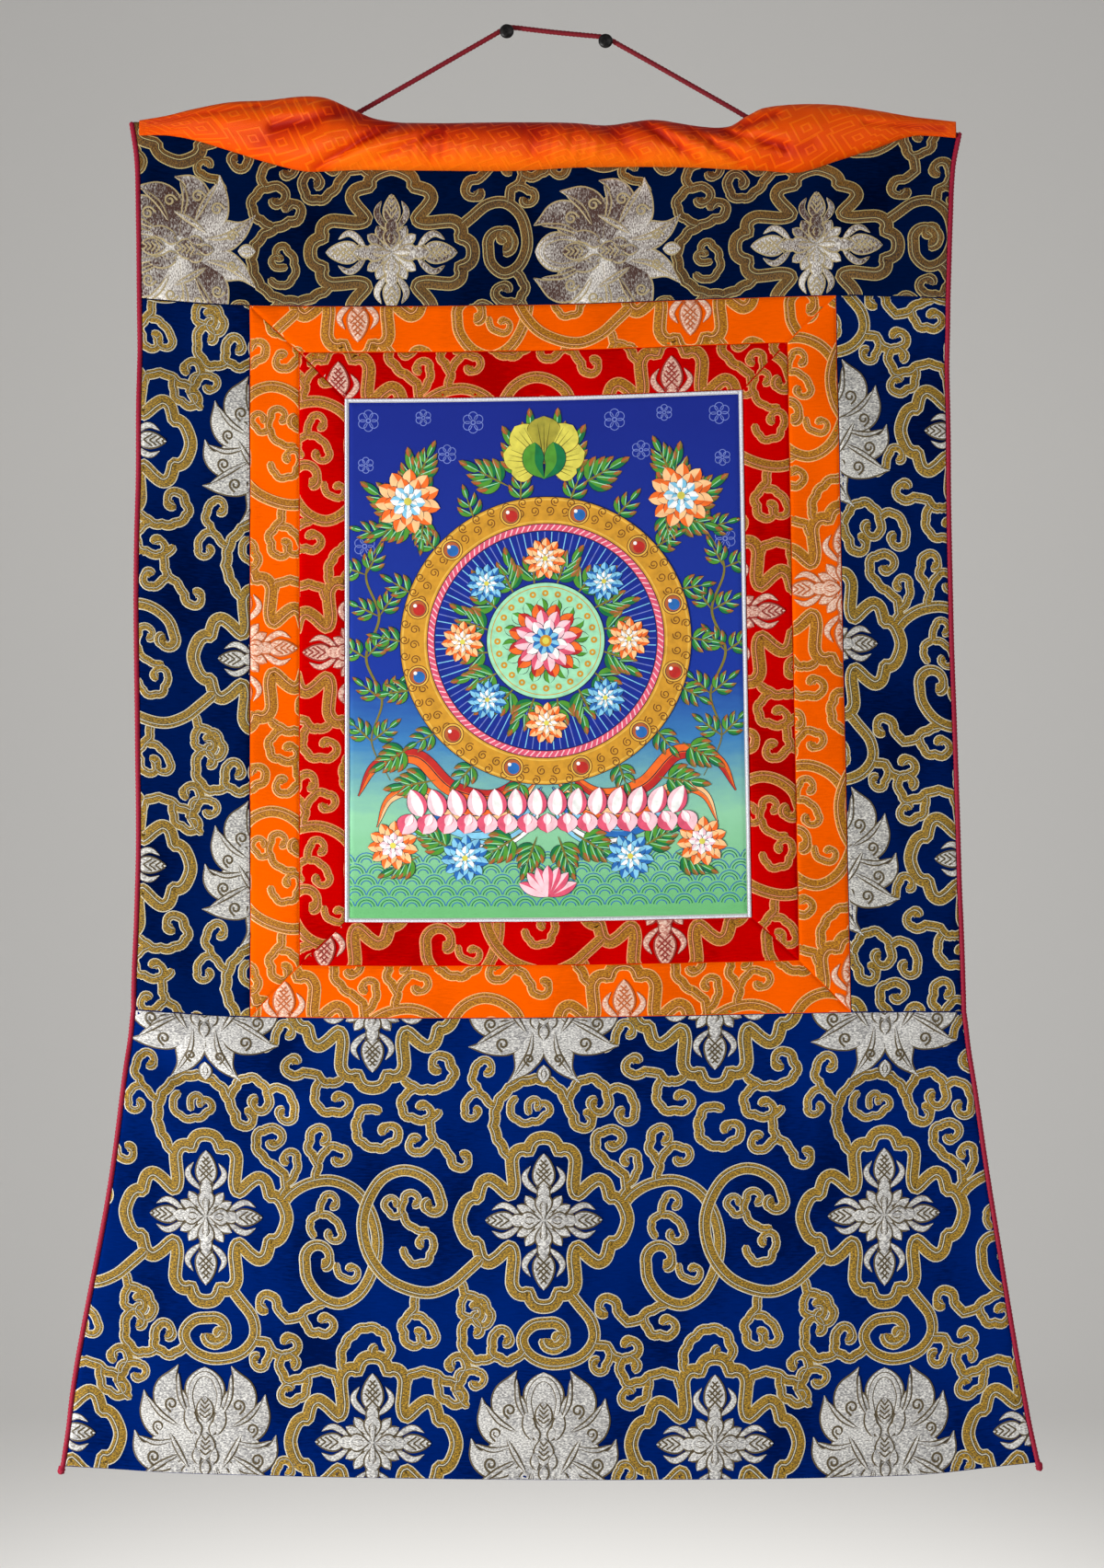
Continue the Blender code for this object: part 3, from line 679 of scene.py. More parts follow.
# Scrolls of the repeat
SCROLLS = [
    # points, width, side of the end curl, size of the curl
    ([(-23, 43), (-31, 55), (-37, 70), (-34, 90), (-20, 104), (-2, 107), (12, 99), (19, 86),
      (24, 73)], 8.5, 1, 7),
    ([(-20, 94), (-25, 84), (-18, 75), (-6, 75), (3, 81)], 6.5, 1, 5),
    ([(-11, 80), (-11, 89)], 6, -1, 4),
    ([(-37, 86), (-47, 97), (-53, 108), (-49, 119)], 7, -1, 6),
    ([(-47, 97), (-56, 93), (-59, 83)], 6.5, 1, 5.5),
    ([(18, 90), (25, 103), (36, 107), (46, 99), (48, 88)], 8, -1, 7),
    ([(47, 96), (57, 100), (66, 92), (68, 80)], 7.5, -1, 6.5),
    ([(57, 12), (62, 26), (58, 36), (48, 43), (39, 54), (41, 65), (51, 68)], 8, -1, 7),
    ([(62, 26), (69, 35), (70, 46)], 7, 1, 5.5),
    ([(84, 29), (86, 42), (79, 53), (81, 65)], 7.5, -1, 7),
    ([(86, 42), (94, 54), (104, 54)], 7, -1, 6.5),
    ([(57, 8), (66, 19), (80, 27), (98, 29), (115, 21), (126, 5), (131, -15), (128, -36),
      (118, -54), (103, -62), (88, -57), (78, -44), (76, -30)], 9, -1, 11),
    ([(84, -14), (80, -3), (87, 4), (90, 15)], 6.5, -1, 6),
    ([(87, 3), (97, 1), (104, -8)], 6.5, -1, 6),
    ([(100, -32), (104, -42), (112, -44)], 6, 1, 5),
    ([(150, -20), (156, -31), (168, -30), (173, -18)], 6.5, 1, 6),
    ([(170, -8), (158, -6), (150, 4), (151, 16)], 6.5, -1, 6),
    ([(151, 5), (142, 3), (137, 10)], 6, -1, 5),
    ([(92, -62), (80, -66), (68, -74), (58, -71), (53, -60)], 8, 1, 7),
    ([(74, -70), (80, -82), (92, -84)], 7.5, 1, 6.5),
    ([(160, -54), (158, -66), (150, -76), (152, -88)], 7.5, 1, 7),
    ([(156, -70), (166, -72), (174, -82)], 7, -1, 6.5),
    ([(17, -50), (26, -61), (36, -74), (37, -88), (26, -100), (6, -104), (-10, -98), (-16, -86), (-8, -76),
      (6, -74)], 9, -1, 10),
    ([(-2, -86), (4, -94), (14, -92)], 6, 1, 5.5),
    ([(-14, -94), (-26, -102), (-38, -96), (-37, -84)], 8, -1, 6.5),
    ([(-36, -98), (-50, -102), (-60, -92), (-60, -78)], 8, -1, 7),
    ([(36, -90), (46, -91), (55, -100), (66, -99)], 8, 1, 6.5),
    ([(50, -95), (46, -107)], 7, -1, 5.5),
    ([(-62, -44), (-58, -54), (-46, -58), (-40, -68)], 7.5, -1, 7),
    ([(-58, -54), (-62, -66), (-54, -72)], 7, 1, 6),
    ([(104, -124), (98, -113), (84, -111), (72, -117), (62, -118), (57, -108)], 8, -1, 7),
    ([(78, -114), (76, -128), (66, -134)], 7.5, -1, 6.5),
    ([(150, -124), (156, -113), (170, -111), (182, -117), (192, -118), (197, -108)], 8, 1, 7),
    ([(176, -114), (178, -128), (188, -134)], 7.5, 1, 6.5),
    ([(107, -112), (104, -102), (108, -90), (120, -80), (134, -82), (140, -94)], 8, -1, 7),
    ([(106, 108), (94, 104), (82, 112), (68, 110)], 8, -1, 7),
    ([(88, 106), (84, 94), (90, 83), (104, 82)], 7.5, 1, 7),
    ([(150, 108), (162, 100), (178, 101), (188, 110), (184, 122)], 8, 1, 7),
    ([(160, 101), (150, 92), (152, 80), (164, 76)], 7.5, 1, 6.5),
    ([(134, 82), (122, 84), (116, 74), (118, 60), (132, 54), (144, 60)], 8, 1, 7),
    ([(178, 84), (170, 74), (172, 60), (164, 52)], 7.5, -1, 6.5),
    ([(172, 62), (182, 54), (188, 42)], 7.5, 1, 6.5),
    ([(-56, -136), (-64, -126), (-62, -112), (-50, -110)], 7, -1, 6),
    ([(44, 128), (52, 134), (56, 146)], 7, -1, 6),
]
RING_ACROSS = [
    (209, -27), (198, -37), (186, -47), (170, -53), (152, -50), (136, -41), (124, -24), (120, -4),
    (124, 14), (134, 30), (148, 37), (162, 35), (174, 26), (179, 13),
]


def medallion(layer, centre):
    """The cusped cross-shaped medallion, from a quarter turned about and mirrored."""
    quarter = np.array(MEDALLION_QUARTER, float)
    right = quarter[1:]
    outline = [quarter[:1], right, [(MEDALLION_SIDE, 0.0)], right[::-1] * (1, -1), quarter[:1] * (1, -1)]
    outline += [right * (-1, -1), [(-MEDALLION_SIDE, 0.0)], right[::-1] * (-1, 1)]
    line = line_through(np.concatenate(outline) + centre, 1.5, closed=True)
    ribbon(layer, line, MEDALLION_WIDTH, MEDALLION_LANES, 0.12, closed=True)


def scroll(layer, points, width, side, size, lobes=True, lift=0.0):
    """One scroll of the repeat, with its hook and, if it is a cloud, its lobes."""
    line = line_through(points, PATTERN_STEP)
    straight = distance_along(line)[-1]
    line = curled(line, side, size, PATTERN_STEP * 0.7)
    if lobes:
        in_hook = smooth((distance_along(line) - straight) / size)
        line = lobed(line, -side, LOBE_DEPTH * (1 - HOOK_LOBE_LOSS * in_hook), LOBE_LENGTH)
    ribbon(layer, line, scroll_widths(line, width, straight), SCROLL_LANES, lift)


def leaf_widths(count, width, widest=0.4, tip=0.03):
    """Widths along a leaf or petal, from its foot to its pointed tip."""
    t = np.linspace(0, 1, count)
    power = math.log(0.5) / math.log(widest)
    return width * np.maximum(tip, np.sin(np.pi * t**power) ** 0.65)


# Share of its full width along a flame petal, from its foot to its tip
FLAME = np.array([
    # share of the length, share of the width
    (0.0, 0.34), (0.18, 0.62), (0.36, 0.94), (0.46, 1.0), (0.58, 0.92), (0.70, 0.66), (0.82, 0.36),
    (0.92, 0.17), (1.0, 0.03),
])


def flame_petal(layer, points, width, lift):
    """A lobed petal that narrows to a flame at its tip."""
    line = line_through(points, PETAL_STEP)
    widths = width * table_value(FLAME[:, 0], FLAME[:, 1], np.linspace(0, 1, len(line)))
    ribbon(layer, line, widths, PETAL_LANES, lift, outline=PETAL_OUTLINE)


def petal(layer, points, width, widest, lift, lanes=PETAL_LANES, relief=RELIEF,
          step=PETAL_STEP, outline=PETAL_OUTLINE):
    """A petal or leaf through points from its foot to its tip, widest at a share of its length."""
    line = line_through(points, step)
    ribbon(layer, line, leaf_widths(len(line), width, widest), lanes, lift, relief, outline=outline)


def polar(centre, angle, radius):
    """A point at an angle from straight up, in degrees clockwise, and a distance from a centre."""
    turn = math.radians(angle)
    return np.array([centre[0] + radius * math.sin(turn), centre[1] + radius * math.cos(turn)])


def on_arm(centre, angle, points):
    """Points (beside, along) of an arm that leaves a centre at an angle from straight up."""
    turn = math.radians(angle)
    beside, along = np.array(points, float).T
    x = centre[0] + beside * math.cos(turn) + along * math.sin(turn)
    up = centre[1] - beside * math.sin(turn) + along * math.cos(turn)
    return np.stack([x, up], axis=1)


def fine_line(layer, points, lift):
    """A thin woven line."""
    ribbon(layer, spaced(np.array(points, float), 1.5), FINE_LINE_WIDTH, LINE_LANES, lift, 0.15)


CROSS_ARMS = [
    # angle from up, reach, foot of its spike, width of its spike, tarnish and shade
    (0, 50.5, 24.0, 17.5, 0.1),
    (180, 50.5, 24.0, 17.5, 0.8),
    (90, 43.5, 21.5, 14.0, 0.9),
    (270, 43.5, 21.5, 14.0, 0.1),
]
# The outer course of a claw beside a spike: across as a share of the spike's width, up from its foot
CLAW = [(0.70, 4), (0.80, 10), (0.55, 17)]


def cross(layer, centre):
    """The silver double thunderbolt inside a medallion."""
    petal(layer, on_arm(centre, 0, [(0, -11), (0, 11)]), 20, 0.5, 0.0)
    for angle in (36, 60, 120, 144, 216, 240, 300, 324):
        layer.tarnish_and_shade = 0.75 if angle < 180 else 0.2
        petal(layer, on_arm(centre, angle, [(0, 6), (0, 23)]), 8.5, 0.6, 0.1)
    for angle, reach, foot, spike, tarnish_and_shade in CROSS_ARMS:
        layer.tarnish_and_shade = tarnish_and_shade
        for side in (-1, 1):
            claw = [(4, foot - 4)] + [(spike * share, foot + up) for share, up in CLAW]
            claw = on_arm(centre, angle, np.array(claw) * (side, 1))
            petal(layer, claw, 5.4, 0.45, 0.2, step=1.4, outline=0.6)
        petal(layer, on_arm(centre, angle, [(0, foot), (0, reach)]), spike, 0.38, 0.45)
        for row in range(4):
            along, half = foot + 6.5 + row * 4.3, spike * (0.33 - 0.07 * row)
            for side in (-1, 1):
                foot_of_line = (-side * half, along - half) if angle % 180 == 0 else (0, along - half * 0.5)
                fine_line(layer, on_arm(centre, angle, [foot_of_line, (side * half, along + half)]), 0.85)
        inner = [(10, foot + 4, 11, 0.6, 0.5), (2, foot - 3, 14, 0.6, 0.6), (6, 15, 7, 0.5, 0.8)]
        for start, end, width, widest, lift in inner:
            petal(layer, on_arm(centre, angle, [(0, start), (0, end)]), width, widest, lift)
    for angle in (0, 180):
        petal(layer, on_arm(centre, angle, [(0, 0.3), (0, 14.5)]), 4.8, 0.5, 1.0, outline=0.7)
    layer.tarnish_and_shade = 0.0


# Petals of the right half of the woven lotus, back to front
LOTUS_PETALS = [
    # points from foot to tip, width, rib beside it, tarnish and shade on the left and right
    ([(3, -6), (8, -24), (12, -38), (17, -49), (27, -59)], 24,
     [(8, -20), (11, -36), (22, -54)], (0.1, 0.5)),
    ([(8, -6), (20, -19), (33, -27), (44, -31), (56, -31)], 27,
     [(20, -11), (35, -19), (50, -29)], (0.9, 0.2)),
    ([(9, -2), (26, -8), (40, -12), (50, -8), (54, 4)], 27,
     [(22, -1), (38, -4), (51, 0)], (0.2, 0.9)),
    ([(9, 4), (24, 8), (35, 12), (43, 20), (46, 34)], 26,
     [(20, 9), (33, 17), (44, 30)], (0.1, 1.0)),
    ([(7, 9), (18, 19), (26, 28), (28, 39), (20, 54)], 26,
     [(13, 18), (19, 32), (20, 48)], (0.8, 0.9)),
]
LOTUS_DOME = [(-9, 20), (-11, 33), (-7, 44), (0, 48), (7, 44), (11, 33), (9, 20)]
LOTUS_BUD_RIB = [(28, 5), (21, -8), (13, -20)]
LOTUS_SPIRALS = [
    # across, up, size
    (14, -41, 3.8),
    (34, -30, 4.6),
    (43, -15, 4.6),
    (39, 7, 4.4),
    (29, 24, 4.8),
]
LOTUS_SCALES = [
    # across, up, width, length, whether it has veins
    (11, 14, 11, 22, False),
    (0, 22, 14, 20, True),
    (6, 8, 8, 11, False),
    (0, -5, 16, 20, True),
    (6.5, -12, 8, 12, False),
    (0, -20, 9, 12, False),
]


def mirrored(points, centre, side):
    """Points of the right half placed about a centre, on either side."""
    return [(centre[0] + side * x, centre[1] + up) for x, up in points]


def lotus(layer, centre):
    """The silver woven lotus: flame petals round a bud of scales, with a small lozenge below."""
    petal(layer, mirrored([(0, -24), (0, 26)], centre, 1), 34, 0.5, 0.0)
    lift = 0.04
    for points, width, rib, tarnish_and_shade in LOTUS_PETALS:
        for side, layer.tarnish_and_shade in zip((-1, 1), tarnish_and_shade):
            lift += 0.04
            flame_petal(layer, mirrored(points, centre, side), width, lift)
            petal(layer, mirrored(rib, centre, side), 4.8, 0.5, lift + 0.3)
    layer.tarnish_and_shade = 0.3
    petal(layer, mirrored([(0, 12), (0, 34), (0, 53)], centre, 1), 31, 0.60, 0.5)
    arch = line_through(mirrored(LOTUS_DOME, centre, 1), PETAL_STEP)
    ribbon(layer, arch, 4.4, PETAL_LANES, 0.75)
    for side in (-1, 1):
        petal(layer, mirrored(LOTUS_BUD_RIB, centre, side), 5.0, 0.5, 0.7)
    layer.tarnish_and_shade = 0.9
    lift = 0.75
    for across, up, width, length, veined in LOTUS_SCALES:
        for side in (-1, 1) if across else (1,):
            lift += 0.03
            ends = [(across * 0.8, up - length / 2), (across, up), (across * 1.15, up + length / 2)]
            petal(layer, mirrored(ends, centre, side), width, 0.5, lift)
        for row in range(4) if veined else ():
            foot = up - length * 0.3 + row * 3.4
            vein = [(0, foot), (4.4 - row * 0.6, foot + 3.4)]
            for side in (-1, 1):
                fine_line(layer, mirrored(vein, centre, side), lift + 0.35)
    layer.tarnish_and_shade = 0.0
    petal(layer, mirrored([(0, -59), (0, -45)], centre, 1), 11, 0.5, 0.6)
    petal(layer, mirrored([(0, -56), (0, -48)], centre, 1), 5.5, 0.5, 0.8)
    for across, up, size in LOTUS_SPIRALS:
        for side in (-1, 1):
            foot = np.array(mirrored([(across - 3, up - 5), (across, up - 2)], centre, side), float)
            line = curled(spaced(foot, 1.2), side, size, 1.2, 1.25, 0.75)
            ribbon(layer, line, SPIRAL_WIDTH, LINE_LANES, 0.85, 0.2)


def brocade_cell():
    """One repeat of the brocade, with the medallion and cross at its middle."""
    layer = Layer()
    half = np.array([CELL_WIDTH / 2, CELL_HEIGHT / 2])
    for points, width, side, size in SCROLLS:
        scroll(layer, points, width, side, size, lobes=width < 9)
    scroll(layer, RING_ACROSS, 9, -1, 6.5, lobes=False, lift=0.3)
    for centre in ((0, 0), -half * (-1, 1)):
        medallion(layer, np.array(centre))
        cross(layer, centre)
    lotus(layer, (0, half[1]))
    return layer.arrays()


def tiled(panel, cell, origin, turned):
    """The repeats of a cell that reach a panel, in plan coordinates.

    Turned cloth has its pattern's down to the right.
    """
    points, marks, faces, materials = cell
    low, high = panel.corners.min(axis=0), panel.corners.max(axis=0)
    reach = CELL_HEIGHT * 0.9
    made = Layer()
    period = np.array([CELL_HEIGHT, CELL_WIDTH] if turned else [CELL_WIDTH, CELL_HEIGHT])
    place = points[:, :2]
    if turned:
        place = np.stack([-points[:, 1], points[:, 0]], axis=1)
    for i in range(-4, 5):
        for j in range(-5, 6):
            shift = np.array(origin) + period * (i, j)
            if np.any(shift < low - reach) or np.any(shift > high + reach):
                continue
            moved = place + shift
            if panel.name == "bottom_panel":
                below = np.minimum(0, moved[:, 1] - origin[1])
                moved[:, 1] += below * (LOWER_STRETCH - 1)
            moved = np.concatenate([moved, points[:, 2:]], axis=1)
            made.add(moved, np.concatenate([points[:, :2], marks[:, 2:]], axis=1), faces, materials)
    points, marks, faces, materials = made.arrays()
    x, z = points[:, 0][faces], points[:, 1][faces]
    near = (x.max(axis=1) > low[0]) & (x.min(axis=1) < high[0])
    near = near & (z.max(axis=1) > low[1]) & (z.min(axis=1) < high[1])
    kept = np.unique(faces[near])
    renumbered = np.zeros(len(points), int)
    renumbered[kept] = np.arange(len(kept))
    return points[kept], marks[kept], renumbered[faces[near]], materials[near]


def laid_on(panel, label, arrays, materials):
    """Flat shapes cut off at a panel's edges and laid on its front."""
    points, marks, faces, chosen = arrays
    mesh = make_mesh(label, points, faces, chosen, [("weave", marks)])
    cut = bmesh.new()
    cut.from_mesh(mesh)
    for corner, inward in zip(panel.corners, panel.inward):
        start = corner + inward * WEAVING_OFF_SEAM
        bmesh.ops.bisect_plane(
            cut,
            geom=cut.verts[:] + cut.edges[:] + cut.faces[:],
            plane_co=(*start, 0),
            plane_no=(*-inward, 0),
            clear_outer=True,
        )
    cut.to_mesh(mesh)
    cut.free()
    flat = np.empty(len(mesh.vertices) * 3, np.float32)
    mesh.vertices.foreach_get("co", flat)
    flat = flat.reshape(-1, 3).astype(float)
    hung = panel.front(flat[:, 0], flat[:, 1], WEAVING_OFF_CLOTH + flat[:, 2])
    mesh.vertices.foreach_set("co", hung.astype(np.float32).ravel())
    mesh.update()
    return add_piece(label, mesh, materials)


# Materials


def srgb(red, green, blue):
    """A colour of 0 to 255 values, in linear light."""
    shares = [value / 255 for value in (red, green, blue)]
    return [s / 12.92 if s <= 0.04045 else ((s + 0.055) / 1.055) ** 2.4 for s in shares] + [1]


class Finish:
    """A material under construction."""

    def __init__(self, name, roughness, specular=0.4, metallic=0.0):
        self.material = bpy.data.materials.new(name)
        self.material.use_nodes = True
        self.tree = self.material.node_tree
        self.shader = self.tree.nodes["Principled BSDF"]
        self.shader.inputs["Roughness"].default_value = roughness
        self.shader.inputs["Specular IOR Level"].default_value = specular
        self.shader.inputs["Metallic"].default_value = metallic

    def node(self, kind, inputs, **settings):
        """Adds a node. Each input is a value, or a socket to link from."""
        made = self.tree.nodes.new(kind)
        for key, value in settings.items():
            setattr(made, key, value)
        for key, value in inputs.items():
            if isinstance(value, bpy.types.NodeSocket):
                self.tree.links.new(value, made.inputs[key])
            else:
                made.inputs[key].default_value = value
        return made

    def weave_place(self, scale=(1, 1, 1)):
        """The place in the cloth's own weave, in millimetres times a scale."""
        place = self.node("ShaderNodeAttribute", {}, attribute_name="weave")
        return self.node("ShaderNodeMapping", {"Vector": place.outputs["Vector"], "Scale": scale}).outputs[0]

    def object_place(self, scale=(1, 1, 1)):
        """The place in the part's frame, in millimetres times a scale."""
        place = self.node("ShaderNodeTexCoord", {})
        scale = [s / MM for s in scale]
        return self.node("ShaderNodeMapping", {"Vector": place.outputs["Object"], "Scale": scale}).outputs[0]

    def noise(self, place, scale, detail=2.0):
        """Soft noise from 0 to 1."""
        made = self.node("ShaderNodeTexNoise", {"Vector": place, "Scale": scale, "Detail": detail})
        return made.outputs["Fac"]

    def bands(self, place, scale, direction="Y", distortion=0.0):
        """Even waves, such as threads side by side."""
        inputs = {"Vector": place, "Scale": scale, "Distortion": distortion}
        made = self.node("ShaderNodeTexWave", inputs, bands_direction=direction)
        return made.outputs["Fac"]

    def math(self, operation, a, b=0.0):
        """A sum, product or the like of two values."""
        return self.node("ShaderNodeMath", {0: a, 1: b}, operation=operation).outputs[0]

    def blend(self, a, share_of_a, b, share_of_b):
        """A weighted sum of two values."""
        return self.math("ADD", self.math("MULTIPLY", a, share_of_a), self.math("MULTIPLY", b, share_of_b))

    def axis(self, place, name):
        """One axis of a place, X, Y or Z."""
        return self.node("ShaderNodeSeparateXYZ", {"Vector": place}).outputs[name]

    def ramp(self, value, stops):
        """A colour for each value, through (place, colour) stops."""
        made = self.node("ShaderNodeValToRGB", {"Fac": value})
        elements = made.color_ramp.elements
        while len(elements) < len(stops):
            elements.new(0.5)
        for element, (place, colour) in zip(elements, stops):
            element.position = place
            element.color = colour
        return made.outputs["Color"]

    def colour(self, socket):
        """Uses a colour socket as the surface's colour."""
        self.tree.links.new(socket, self.shader.inputs["Base Color"])

    def roughness(self, value, low, high):
        """Varies the roughness with a value."""
        made = self.node("ShaderNodeMapRange", {"Value": value, "To Min": low, "To Max": high})
        self.tree.links.new(made.outputs["Result"], self.shader.inputs["Roughness"])

    def bump(self, height, distance):
        """Raises the surface by a height from 0 to 1, over a distance in metres."""
        made = self.node("ShaderNodeBump", {"Height": height, "Distance": distance, "Strength": 1.0})
        self.tree.links.new(made.outputs["Normal"], self.shader.inputs["Normal"])


def scaled(colour, factor):
    """A colour made darker or lighter."""
    return [min(1.0, c * factor) for c in colour[:3]] + [1]


def satin(name, colour, depth):
    """The plain satin ground of a brocade: fine warp threads, slubs, and soft large patches of painted sheen
    and shade.
    """
    made = Finish(name, 0.38, 0.0)
    fine = made.weave_place()
    threads = made.bands(fine, 0.55, "X", 0.3)
    slubs = made.noise(made.weave_place((0.25, 1.6, 1)), 0.5, 3)
    # Large soft patches, lighter and darker than the ground: painted sheen and shade of the satin
    sheen_and_shade_mottle = made.noise(made.weave_place((1.0, 0.6, 1)), 0.014, 2)
    mixed = made.blend(slubs, 0.35, sheen_and_shade_mottle, 0.65)
    stops = [(0.38, scaled(colour, 1 - depth)), (0.5, colour), (0.64, scaled(colour, 1 + depth * 0.5))]
    made.colour(made.ramp(mixed, stops))
    made.roughness(slubs, 0.34, 0.52)
    made.bump(made.math("ADD", threads, made.math("MULTIPLY", slubs, 1.5)), 0.00006)
    return made.material


def metal_thread(name, bright, dark, lines, tarnish_and_shade, stops):
    """Flat metal thread laid in close rows, with the ground showing between in dark flecks."""
    made = Finish(name, 0.42, 0.3, 0.2)
    rows = made.bands(made.weave_place(), lines, "Y", 1.2)
    flecks = made.noise(made.weave_place((1.0, 2.0, 1)), 0.6, 4)
    patches = made.noise(made.weave_place(), 0.022, 1)
    mixed = made.blend(rows, 0.2, flecks, 0.8)
    own = made.axis(made.weave_place(), "Z")
    # Random patches and each mark's value darken the thread, more with more tarnish and shade; the top
    # panel's high value paints shade
    uneven = made.blend(made.math("SUBTRACT", patches, 0.5), tarnish_and_shade * 0.3, own, -tarnish_and_shade * 0.08)
    mixed = made.math("ADD", mixed, uneven)
    # The lightest tone, the thread's colour times 1.45, is a painted highlight
    tones = [dark, scaled(bright, 0.8), bright, scaled(bright, 1.45)]
    made.colour(made.ramp(mixed, list(zip(stops, tones))))
    made.roughness(flecks, 0.32, 0.5)
    made.bump(mixed, 0.0003)
    return made.material


def plain_thread(name, colour):
    """A fine outline of twisted thread."""
    made = Finish(name, 0.45, 0.5)
    flecks = made.noise(made.weave_place(), 1.1, 2)
    made.colour(made.ramp(flecks, [(0.3, scaled(colour, 0.6)), (0.6, colour)]))
    made.bump(flecks, 0.0002)
    return made.material


def reverse_side(name, colour):
    """The back of a cloth: dull, with floating threads across."""
    made = Finish(name, 0.8, 0.2)
    floats = made.bands(made.weave_place(), 0.35, "Y", 2.0)
    patches = made.noise(made.weave_place((0.5, 1, 1)), 0.08, 3)
    mixed = made.blend(floats, 0.4, patches, 0.6)
    made.colour(made.ramp(mixed, [(0.3, scaled(colour, 0.7)), (0.7, scaled(colour, 1.3))]))
    made.bump(floats, 0.0003)
    return made.material


def cord_finish(name, colour):
    """Twisted cord: fine fibres and a darker lay between its plies."""
    made = Finish(name, 0.6, 0.25)
    fibres = made.noise(made.object_place((1, 1, 1)), 1.6, 3)
    made.colour(made.ramp(fibres, [(0.3, scaled(colour, 0.6)), (0.55, colour), (0.8, scaled(colour, 1.4))]))
    made.bump(fibres, 0.0003)
    return made.material


def silk_finish():
    """The cover's saffron silk, with a fret woven in the same colour. Its weave holds a painted shade from 0
    to 1 that runs its colour from shaded deep red to lit yellow-orange.
    """
    made = Finish("saffron_silk", 0.42, 0.08)
    place = made.weave_place()
    painted_shade = made.axis(place, "Z")
    plane = made.weave_place((0.036, 0.036, 0))
    inputs = {"Vector": plane, "Scale": 1.0, "Randomness": 1.0}
    cells = made.node("ShaderNodeTexVoronoi", inputs, voronoi_dimensions="2D", distance="CHEBYCHEV")
    rings = made.math("ABSOLUTE", made.math("COSINE", made.math("MULTIPLY", cells.outputs["Distance"], 14.0)))
    lines = made.ramp(rings, [(0.26, (1, 1, 1, 1)), (0.52, (0, 0, 0, 1))])
    threads = made.bands(place, 0.8, "X", 0.3)
    mixed = made.blend(lines, 0.24, painted_shade, 0.84)
    # Shaded to lit copies of the saffron colour, picked by the painted shade
    stops = [
        (0.08, srgb(170, 24, 0)),
        (0.32, srgb(210, 54, 0)),
        (0.56, srgb(236, 80, 0)),
        (0.92, srgb(250, 112, 8)),
    ]
    made.colour(made.ramp(mixed, stops))
    made.roughness(lines, 0.46, 0.32)
    made.bump(made.math("ADD", lines, made.math("MULTIPLY", threads, 0.5)), 0.00014)
    return made.material


def nail_finish():
    """Blackened steel, rubbed a little on the crown."""
    made = Finish("black_nail", 0.35, 0.5, 0.7)
    wear = made.noise(made.object_place(), 0.5, 4)
    made.colour(made.ramp(wear, [(0.35, srgb(14, 14, 15)), (0.8, srgb(46, 44, 43))]))
    made.roughness(wear, 0.25, 0.55)
    made.bump(wear, 0.0002)
    return made.material


# Pieces


def upright(x0, x1, top, bottom):
    """The plan of an upright rectangle."""
    return [(x0, top), (x1, top), (x1, bottom), (x0, bottom)]


def mitred(outer, inner):
    """The plans of four strips round an opening, by side. Outer and inner are (half width, top, bottom)."""
    (ox, ot, ob), (ix, it, ib) = outer, inner
    return {
        "top": [(-ox, ot), (ox, ot), (ix, it), (-ix, it)],
        "right": [(ix, it), (ox, ot), (ox, ob), (ix, ib)],
        "bottom": [(-ix, ib), (ix, ib), (ox, ob), (-ox, ob)],
        "left": [(-ox, ot), (-ix, it), (-ix, ib), (-ox, ob)],
    }


def brocade_materials(name, depth, tarnish_and_shade, colours):
    """The sheet's and the woven pattern's materials. The colours run from the ground to the silver's line."""
    ground, thread, body, dark, silver, silver_dark, silver_line = (srgb(*c) for c in colours)
    sheet = [
        satin(f"{name}_satin", ground, depth),
        reverse_side(f"{name}_reverse", scaled(ground, 0.8)),
    ]
    pattern = [
        plain_thread(f"{name}_edge_thread", thread),
        metal_thread(f"{name}_gold_thread", body, dark, 1.15, tarnish_and_shade, GOLD_STOPS),
        plain_thread(f"{name}_dark_thread", dark),
        metal_thread(f"{name}_silver_thread", silver, silver_dark, 0.9, tarnish_and_shade * 2, SILVER_STOPS),
        plain_thread(f"{name}_silver_line", silver_line),
    ]
    return sheet, pattern


# Where metal thread turns from its dark flecks through its own colour to its painted highlights, from 0 to 1
GOLD_STOPS = (0.44, 0.50, 0.58, 0.72)
SILVER_STOPS = (0.40, 0.46, 0.54, 0.66)

# Colours of each brocade
BROCADES = {
    # name: (depth of its mottling of slubs and painted sheen and shade, tarnish and painted shade, colours)
    #   colours: ground, edge thread, gold, gold's flecks, then silver, silver's flecks, silver's line
    "navy": (0.5, 0.2, [
        (0, 20, 70), (204, 196, 170), (180, 140, 38), (60, 50, 26),
        (212, 210, 202), (112, 110, 112), (80, 66, 34),
    ]),
    # A lit copy of the navy brocade: lighter colours paint the light that falls on the bottom panel
    "lit_navy": (0.5, 0.2, [
        (0, 27, 92), (208, 202, 180), (188, 146, 40), (62, 50, 26),
        (216, 214, 208), (118, 116, 118), (80, 66, 34),
    ]),
    # A shaded copy of the navy brocade: mostly darker colours and a high tarnish and shade paint the shade on
    # the top panel
    "shaded_navy": (0.5, 0.9, [
        (0, 15, 50), (180, 162, 104), (128, 92, 34), (46, 30, 20),
        (210, 205, 197), (72, 46, 38), (176, 158, 114),
    ]),
    "orange": (0.16, 0.1, [
        (236, 88, 0), (246, 178, 112), (206, 140, 20), (122, 62, 6),
        (246, 206, 184), (206, 110, 60), (190, 96, 40),
    ]),
    "red": (0.3, 0.1, [
        (184, 0, 0), (236, 146, 92), (196, 136, 24), (112, 52, 8),
        (240, 194, 174), (170, 60, 44), (150, 40, 24),
    ]),
}


